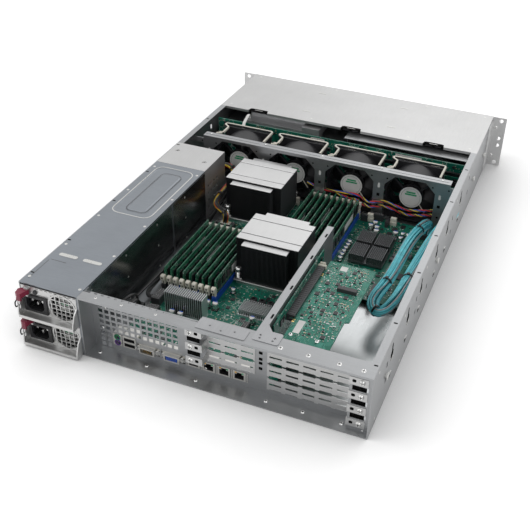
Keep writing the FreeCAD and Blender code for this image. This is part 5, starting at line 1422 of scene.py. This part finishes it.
def cover():
    """The front cover's catches, rivets and pressed lines, with dark wells and a dark gap of painted shade at
    each catch.
    """
    low, high = span("drive_bay_cover")
    edge, top = high.y, high.z
    dark, catch = form("cover_wells", "void_black"), form("cover_catches", "black_plastic")
    rivet = form("cover_rivets", "rail_stud")
    for x in CATCHES:
        # painted shade: dark wells and a dark gap behind the cover's rear edge
        dark.block(x, edge - 7, 14, 2, top - 1.5, top - 1.2)
        dark.tablet(x, edge - 3.85, 16, 3.65, 0.8, top - 0.6, top + FILM)
        rivet.tablet(x, edge - 3.9, 7, 0.5, 0.4, top, top + 0.2)
        dark.block(x, edge - 2.7, 17, 0.3, top - 3.6, top - 0.9)
        for side in (-7.4, 7.4):
            catch.block(x + side, edge - 1.5, 5.0, 0.9, top - 3.0, top - 1.0, 0.4)
        catch.block(x, edge - 7, 1.4, 2, top - 1.2, top - 0.05, 0.2)
    for x in (-205, -105, 60, 205):
        rivet.turned((x, edge - 12, top), COVER_RIVET, "Z", 20)
        rivet.turned((x, low.y + 10, top), COVER_RIVET, "Z", 20)
    for x in (-70, 78):
        for y in (low.y + 33.2, edge - 36.8):
            form("cover_seams", "rail_stud").tablet(x, y, 7, 1.2, 1.1, top, top + 0.35)


def backplane():
    """Parts on the drives' backplane and plugs with their short leads."""
    rear = span("drive_backplane")[1].y
    face = max(islands("drive_backplane"), key=lambda b: b[1].x - b[0].x)[1].y
    dark, ends = form("backplane_chips", "package_black"), form("backplane_ends", "bright_steel")
    tan = form("backplane_parts", "tan_parts")
    for _ in range(30):
        x, z = random.uniform(-200, 200), random.choice((4, 5, 50, 54, 69, 72))
        half = random.choice((2, 3, 4.5))
        dark.slab(x, z + 2, half, 2, face, face + 1.2, 0.1)
    for _ in range(260):
        x = random.uniform(-204, 204)
        z = random.choice((random.uniform(3, 10), random.uniform(48, 56), random.uniform(67.5, 78.5)))
        ends.slab(x, z, 0.9, 0.4, face, face + 0.5)
        tan.slab(x, z, 0.5, 0.42, face, face + 0.6)
    for x, half_x, half_z in ((-119, 21, 5), (32, 12, 4.5)):
        form("backplane_label", "bare_label").slab(x, 73.5, half_x, half_z, face, face + 0.12)
    plugs = form("backplane_plugs", "ivory_plastic")
    for x in (60, 110):
        plugs.slab(x, 17, 10, 4, rear - 2, rear + 5, 0.6)
        for dx in (-6, -2, 2, 6):
            lead = smooth([(x + dx, rear + 4, 17), (x + dx, rear + 12, 15), (x + dx * 1.2, rear + 22, 5),
                           (x + dx * 1.3, rear + 34, 3)], 6)
            form("drive_leads", "yellow_wire").strand(lead, 0.8)
    for x in (-30, -62, -165):
        plugs.slab(x, 72.5, 7.2, 3.5, face + 6, face + 12, 0.5)


# ---------------------------------------------------------------- drive carriers
MESH_PITCH = 4.0
RIB_PITCH = 3.2
RIB = ((-0.7, 0.6), (0.7, 0.6), (0.45, 0.02), (-0.45, 0.02))


def carriers():
    """Lever ribs, lamps, mesh and screws on every drive carrier."""
    for body in (f"carrier_{number}" for number in range(1, 9)):
        low, high = span(body)
        lever_low, lever_high = span(body + "_lever")
        face = lever_high.y + 1.0
        for z in (low.z + 8.5, low.z + 17.0):
            form(body + "_lamps", "green_lamp", body).turned(
                (high.x - 5.2, face, z), [(1.4, 0.1), (1.4, -0.25), (0.8, -0.55)], "Y", 18)
        x0, x1 = low.x + 14.6, high.x - 10.6
        count = int((x1 - x0) / MESH_PITCH)
        for base in (low.z + 2.4, high.z - 5.0):
            for x in (x0 + (x1 - x0) * k / count for k in range(1, count)):
                form(body + "_mesh", "rail_stud", body).slab(x, base + 1.3, 0.5, 1.3, face + 0.5, face + 1.3)
        for y in (low.y + 48, low.y + 92, low.y + 140):
            for x, way in ((low.x, -0.12), (high.x, 0.12)):
                form(body + "_rail_screws", "bright_steel", body).disc((x, y, low.z + 9), 1.9, way, "X", 16)
        front = lever_low.y
        for x in (lever_high.x - 8 - RIB_PITCH * k for k in range(6)):
            form(body + "_ribs", "lever_plastic", body + "_lever").plate(
                [(x + a, front + b) for a, b in RIB], lever_low.z + 1.6, lever_high.z - 1.6)
        form(body + "_lever_plate", "carrier_body", body + "_lever").plate(
            rounded(lever_low.x + 12, lever_high.x - 32, lever_low.z + 2, lever_high.z - 2, 1.4),
            front + 0.9, front + 0.15, "Y")


# ---------------------------------------------------------------- ears, walls and front
EAR_SCREW_Z = (24.5, 63.5)
THUMB_SCREW = [(3.0, 0), (3.0, -1.0), (4.4, -1.0), (4.4, -6.0), (3.8, -6.8), (1.2, -6.8)]
LAMP_DOT = [(1.1, 0), (1.1, -0.35), (0.6, -0.5)]
STUD = ((3.0, 0), (3.0, 1.6), (4.6, 1.6), (4.6, 2.6), (4.0, 3.0))
WALL_RIVET = ((2.0, -0.2), (2.0, 0.15), (1.2, 0.5))


def ears():
    """Thumb screws, with black crosses of painted shade for their recesses, and handle screws on the rack
    ears.
    """
    for side in (-1, 1):
        x = side * (HALF_W + 14.5)
        for z in EAR_SCREW_Z:
            form("ear_knobs", "rail_stud").turned((x, FRONT, z), THUMB_SCREW, "Y")
        for z in EAR_SCREW_Z:
            # painted shade: a black cross for each thumb screw's recess
            for a, b in ((2.6, 0.4), (0.4, 2.6)):
                form("ear_recesses", "package_black").slab(x, z, a, b, FRONT - 6.95, FRONT - 6.7)
        for z in (18, 70):
            form("handle_screws", "bright_steel").turned(
                (side * (HALF_W + 6.5), FRONT + 2.0, z), [(2.6, 0), (2.6, 0.8), (1.8, 1.3)], "Y", 20)


def outer_walls():
    """Rail studs, rivets and keyholes on the outer faces of the side walls; the keyholes are dark patches of
    painted shade.
    """
    studs, dark = form("rail_studs", "rail_stud"), form("wall_keyholes", "void_black")
    for side in (-1, 1):
        x = side * HALF_W
        stud, rivet = [[(radius, side * out) for radius, out in profile] for profile in (STUD, WALL_RIVET)]
        for d in (60, 310, 560, 650):
            studs.turned((x, from_rear(d), 44), stud, "X")
        for d in (24, 130, 238, 420, 505):
            for z in (10, 78):
                studs.turned((x, from_rear(d), z), rivet, "X", 20)
        film, proud = x + side * FILM, x + side * 0.7
        for y in (from_rear(d) for d in (80, 150, 215, 300, 365, 455)):
            # painted shade: dark patches for the keyholes and louvres
            dark.tablet(y, 60.5, 5.5, 5.5, 5, x, film, "X")
            dark.tablet(y, 70.5, 2.4, 5.5, 2, x, film, "X")
            studs.tablet(y, 54.2, 5, 0.8, 0.7, x, proud, "X")
            dark.tablet(y, 28, 5, 3, 2, x, film, "X")
            studs.tablet(y, 31.7, 4.4, 0.7, 0.6, x, proud, "X")


def wall_fixings():
    """Rivets and slots on the inner wall beside the card space, and slots in the top flanges; the slots are
    dark patches of painted shade.
    """
    rivet, dark = form("inner_rivets", "rail_stud"), form("inner_slots", "void_black")
    inner = -HALF_W + SHEET
    for d in (40, 130, 215, 330, 436):
        for z in (70, 12):
            rivet.turned((inner, from_rear(d), z), INNER_RIVET, "X", 20)
    for d in (80, 170, 260, 350):
        # painted shade: dark patches for the slots
        dark.tablet(from_rear(d), 55.75, 6, 1.75, 1.6, inner, inner + 0.05, "X")
    for x in (4 - HALF_W, HALF_W - 4):
        for d in (22, 100, 208, 300, 396, 500):
            dark.tablet(x, from_rear(d), 2.4, 1.1, 1.0, TOP, TOP + 0.04)


def optical_drive():
    """The case's bare label, ridges and screws, and the tray's lamp, button, groove and release hole."""
    low, high = span("optical_drive")
    x, y, top = low.x, low.y, high.z
    form("drive_label", "bare_label").plate(rounded(x + 16, x + 88, y + 52, y + 104, 2), top, top + 0.08)
    ridge = form("drive_ridges", "drive_sleeve")
    ridge.plate(rounded(x + 100, x + 124, y + 30, y + 118, 6), top, top + 0.4)
    ridge.plate(rounded(x + 8, x + 120, y + 16, y + 24, 3.5), top, top + 0.4)
    for dy in (6, 128):
        screw((x + 5, y + dy, top), 1.6)
        screw((high.x - 5, y + dy, top), 1.6)
    low, high = span("optical_tray")
    face = low.y + 0.85
    lamp_form = form("tray_lamp", "green_lamp", "optical_tray")
    lamp_form.box((high.x - 22, low.y + 0.9, low.z + 5), (high.x - 18, low.y + 0.6, low.z + 6.4))
    lamp_form.turned((high.x - 12, face, low.z + 5.7), LAMP_DOT, "Y", 16)
    groove = form("tray_groove", "package_black", "optical_tray")
    groove.plate(rounded(low.x + 4, high.x - 4, high.z - 3.2, high.z - 2.6, 0.25), face, face - 0.1, "Y")
    groove.disc((high.x - 30, face, low.z + 3.4), 0.6, -0.1, "Y", 12)


def front_face():
    """The buttons' caps and collars, the front sockets and the frame's screws."""
    for name in ("power_button", "reset_button"):
        low, high = span(name)
        x, z = (low.x + high.x) / 2, (low.z + high.z) / 2
        form(name + "_cap", "rail_stud", name).ring((x, low.y, z), 1.7, 2.5, -0.25, 0.1, "Y", 28)
        form("button_collars", "rail_stud").ring((x, FRONT, z), 4.2, 5.4, -0.7, 0.05, "Y", 32)
    wells = form("front_sockets", "package_black")
    for x in (-60, -80):
        wells.slab(x, 70.7, 6.6, 0.3, FRONT + 1.2, FRONT + 11)
        wells.slab(x, 73.0, 6.6, 2.6, FRONT + 10, FRONT + 11)
        form("front_tongues", "blue_plastic").slab(x, 74.1, 5.4, 0.7, FRONT + 2.0, FRONT + 10, 0.2)
    for x in (-205, -145, -92, 28, 186, 208):
        screw((x, FRONT, 61 if x > 0 else 82.5), 1.8, "Y", -1)


def dress():
    """Model every region, then make each collected form a piece."""
    for region in (memory_sockets, memory_modules, memory_latches, coolers, board_coolers, main_board,
                   port_liners, rear_panel):
        region()
    supply("psu_1")
    supply("psu_2")
    for region in (fans, fan_wall, drive_cables, supply_leads, fan_leads, drive_ribbon, card, riser, cage,
                   card_floor, cover, backplane, carriers, ears, outer_walls, wall_fixings, optical_drive,
                   front_face):
        region()
    for name, shape in FORMS.items():
        thing = shape.piece(name)
        if name in STANDS_FOR:
            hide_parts(STANDS_FOR[name])


# ---------------------------------------------------------------- stage
CAMERA_AT = (-0.3556, 0.9919, 0.6718)
CAMERA_TURN = (55.35, -1.79, -158.92)      # degrees about X, Y and Z
CAMERA_LENS = 56.7
CAMERA_SHIFT = (-0.0548, 0.0024)
SENSOR = 36.0
WORLD_LIGHT = 0.42         # what the world gives the object; the lens sees 1
FLOOR_GLOW = 0.55          # what the lens sees of the floor beyond the light that falls on it


def camera():
    """The camera at the photograph's viewing angle."""
    data = bpy.data.cameras.new("view")
    data.lens = CAMERA_LENS
    data.sensor_width = SENSOR
    data.shift_x, data.shift_y = CAMERA_SHIFT
    data.clip_start = 0.01
    thing = bpy.data.objects.new("view", data)
    thing.location = CAMERA_AT
    thing.rotation_euler = [math.radians(a) for a in CAMERA_TURN]
    bpy.context.scene.collection.objects.link(thing)
    bpy.context.scene.camera = thing


def seen_by_eye(tree):
    """1 for camera, glossy and transmission rays, 0 for the rays that light the object."""
    path = tree.nodes.new("ShaderNodeLightPath")
    total = path.outputs["Is Camera Ray"]
    for name in ("Is Glossy Ray", "Is Transmission Ray"):
        add = tree.nodes.new("ShaderNodeMath")
        add.operation = "MAXIMUM"
        tree.links.new(total, add.inputs[0])
        tree.links.new(path.outputs[name], add.inputs[1])
        total = add.outputs[0]
    return total


def world():
    """An even white world that lights the object softly."""
    scene_world = bpy.data.worlds.new("studio")
    bpy.context.scene.world = scene_world
    scene_world.use_nodes = True
    tree = scene_world.node_tree
    background = tree.nodes["Background"]
    background.inputs["Color"].default_value = (1, 1, 1, 1)
    strength = tree.nodes.new("ShaderNodeMapRange")
    strength.inputs["To Min"].default_value = WORLD_LIGHT
    strength.inputs["To Max"].default_value = 1.0
    tree.links.new(seen_by_eye(tree), strength.inputs["Value"])
    tree.links.new(strength.outputs["Result"], background.inputs["Strength"])


def lamp(name, place, size, power):
    """A rectangular lamp turned towards the origin."""
    data = bpy.data.lights.new(name, "AREA")
    data.shape = "RECTANGLE"
    data.size, data.size_y = size
    data.energy = power
    thing = bpy.data.objects.new(name, data)
    thing.location = place
    thing.rotation_euler = (-Vector(place)).to_track_quat("-Z", "Y").to_euler()
    bpy.context.scene.collection.objects.link(thing)


def floor():
    """A pale floor that keeps the object's soft shadow and is white away from it; its glow fades with ambient
    occlusion, which paints extra shadow round the object's base.
    """
    n = Nodes("studio_floor")
    tree = n.tree
    tree.nodes.remove(n.coords.node)
    n.shader.inputs["Base Color"].default_value = (0.86, 0.86, 0.86, 1)
    n.shader.inputs["Roughness"].default_value = 0.9
    n.shader.inputs["Specular IOR Level"].default_value = 0.1
    glow = n.add("ShaderNodeEmission")
    # painted shadow: the glow fades with ambient occlusion, darkening the floor round the object's base
    near = n.add("ShaderNodeAmbientOcclusion", [("Distance", 0.16)])
    glow_painted_shadow = n.range(near.outputs["AO"], 0.45, 1.0, 0.0, FLOOR_GLOW)
    strength = n.add("ShaderNodeMath", operation="MULTIPLY")
    n.link(glow_painted_shadow, strength.inputs[1])
    n.link(seen_by_eye(tree), strength.inputs[0])
    n.link(strength.outputs[0], glow.inputs["Strength"])
    both = n.add("ShaderNodeAddShader")
    n.link(n.shader.outputs[0], both.inputs[0])
    n.link(glow.outputs[0], both.inputs[1])
    n.link(both.outputs[0], tree.nodes["Material Output"].inputs["Surface"])
    bpy.ops.mesh.primitive_plane_add(size=30, location=(0, 0, -0.0004))
    plane = bpy.context.object
    plane.name = "studio_floor"
    plane.data.materials.append(n.material)


def studio():
    """View, world, floor and three soft lamps."""
    bpy.context.scene.view_settings.view_transform = "Standard"
    camera()
    world()
    floor()
    lamp("key", (1.4, 0.6, 1.9), (1.6, 1.6), 17)
    lamp("fill", (-1.6, 1.2, 1.3), (1.5, 1.0), 6)
    lamp("back", (-0.4, -2.0, 1.6), (2.2, 1.0), 8)


dress_nodes()
dress()
studio()
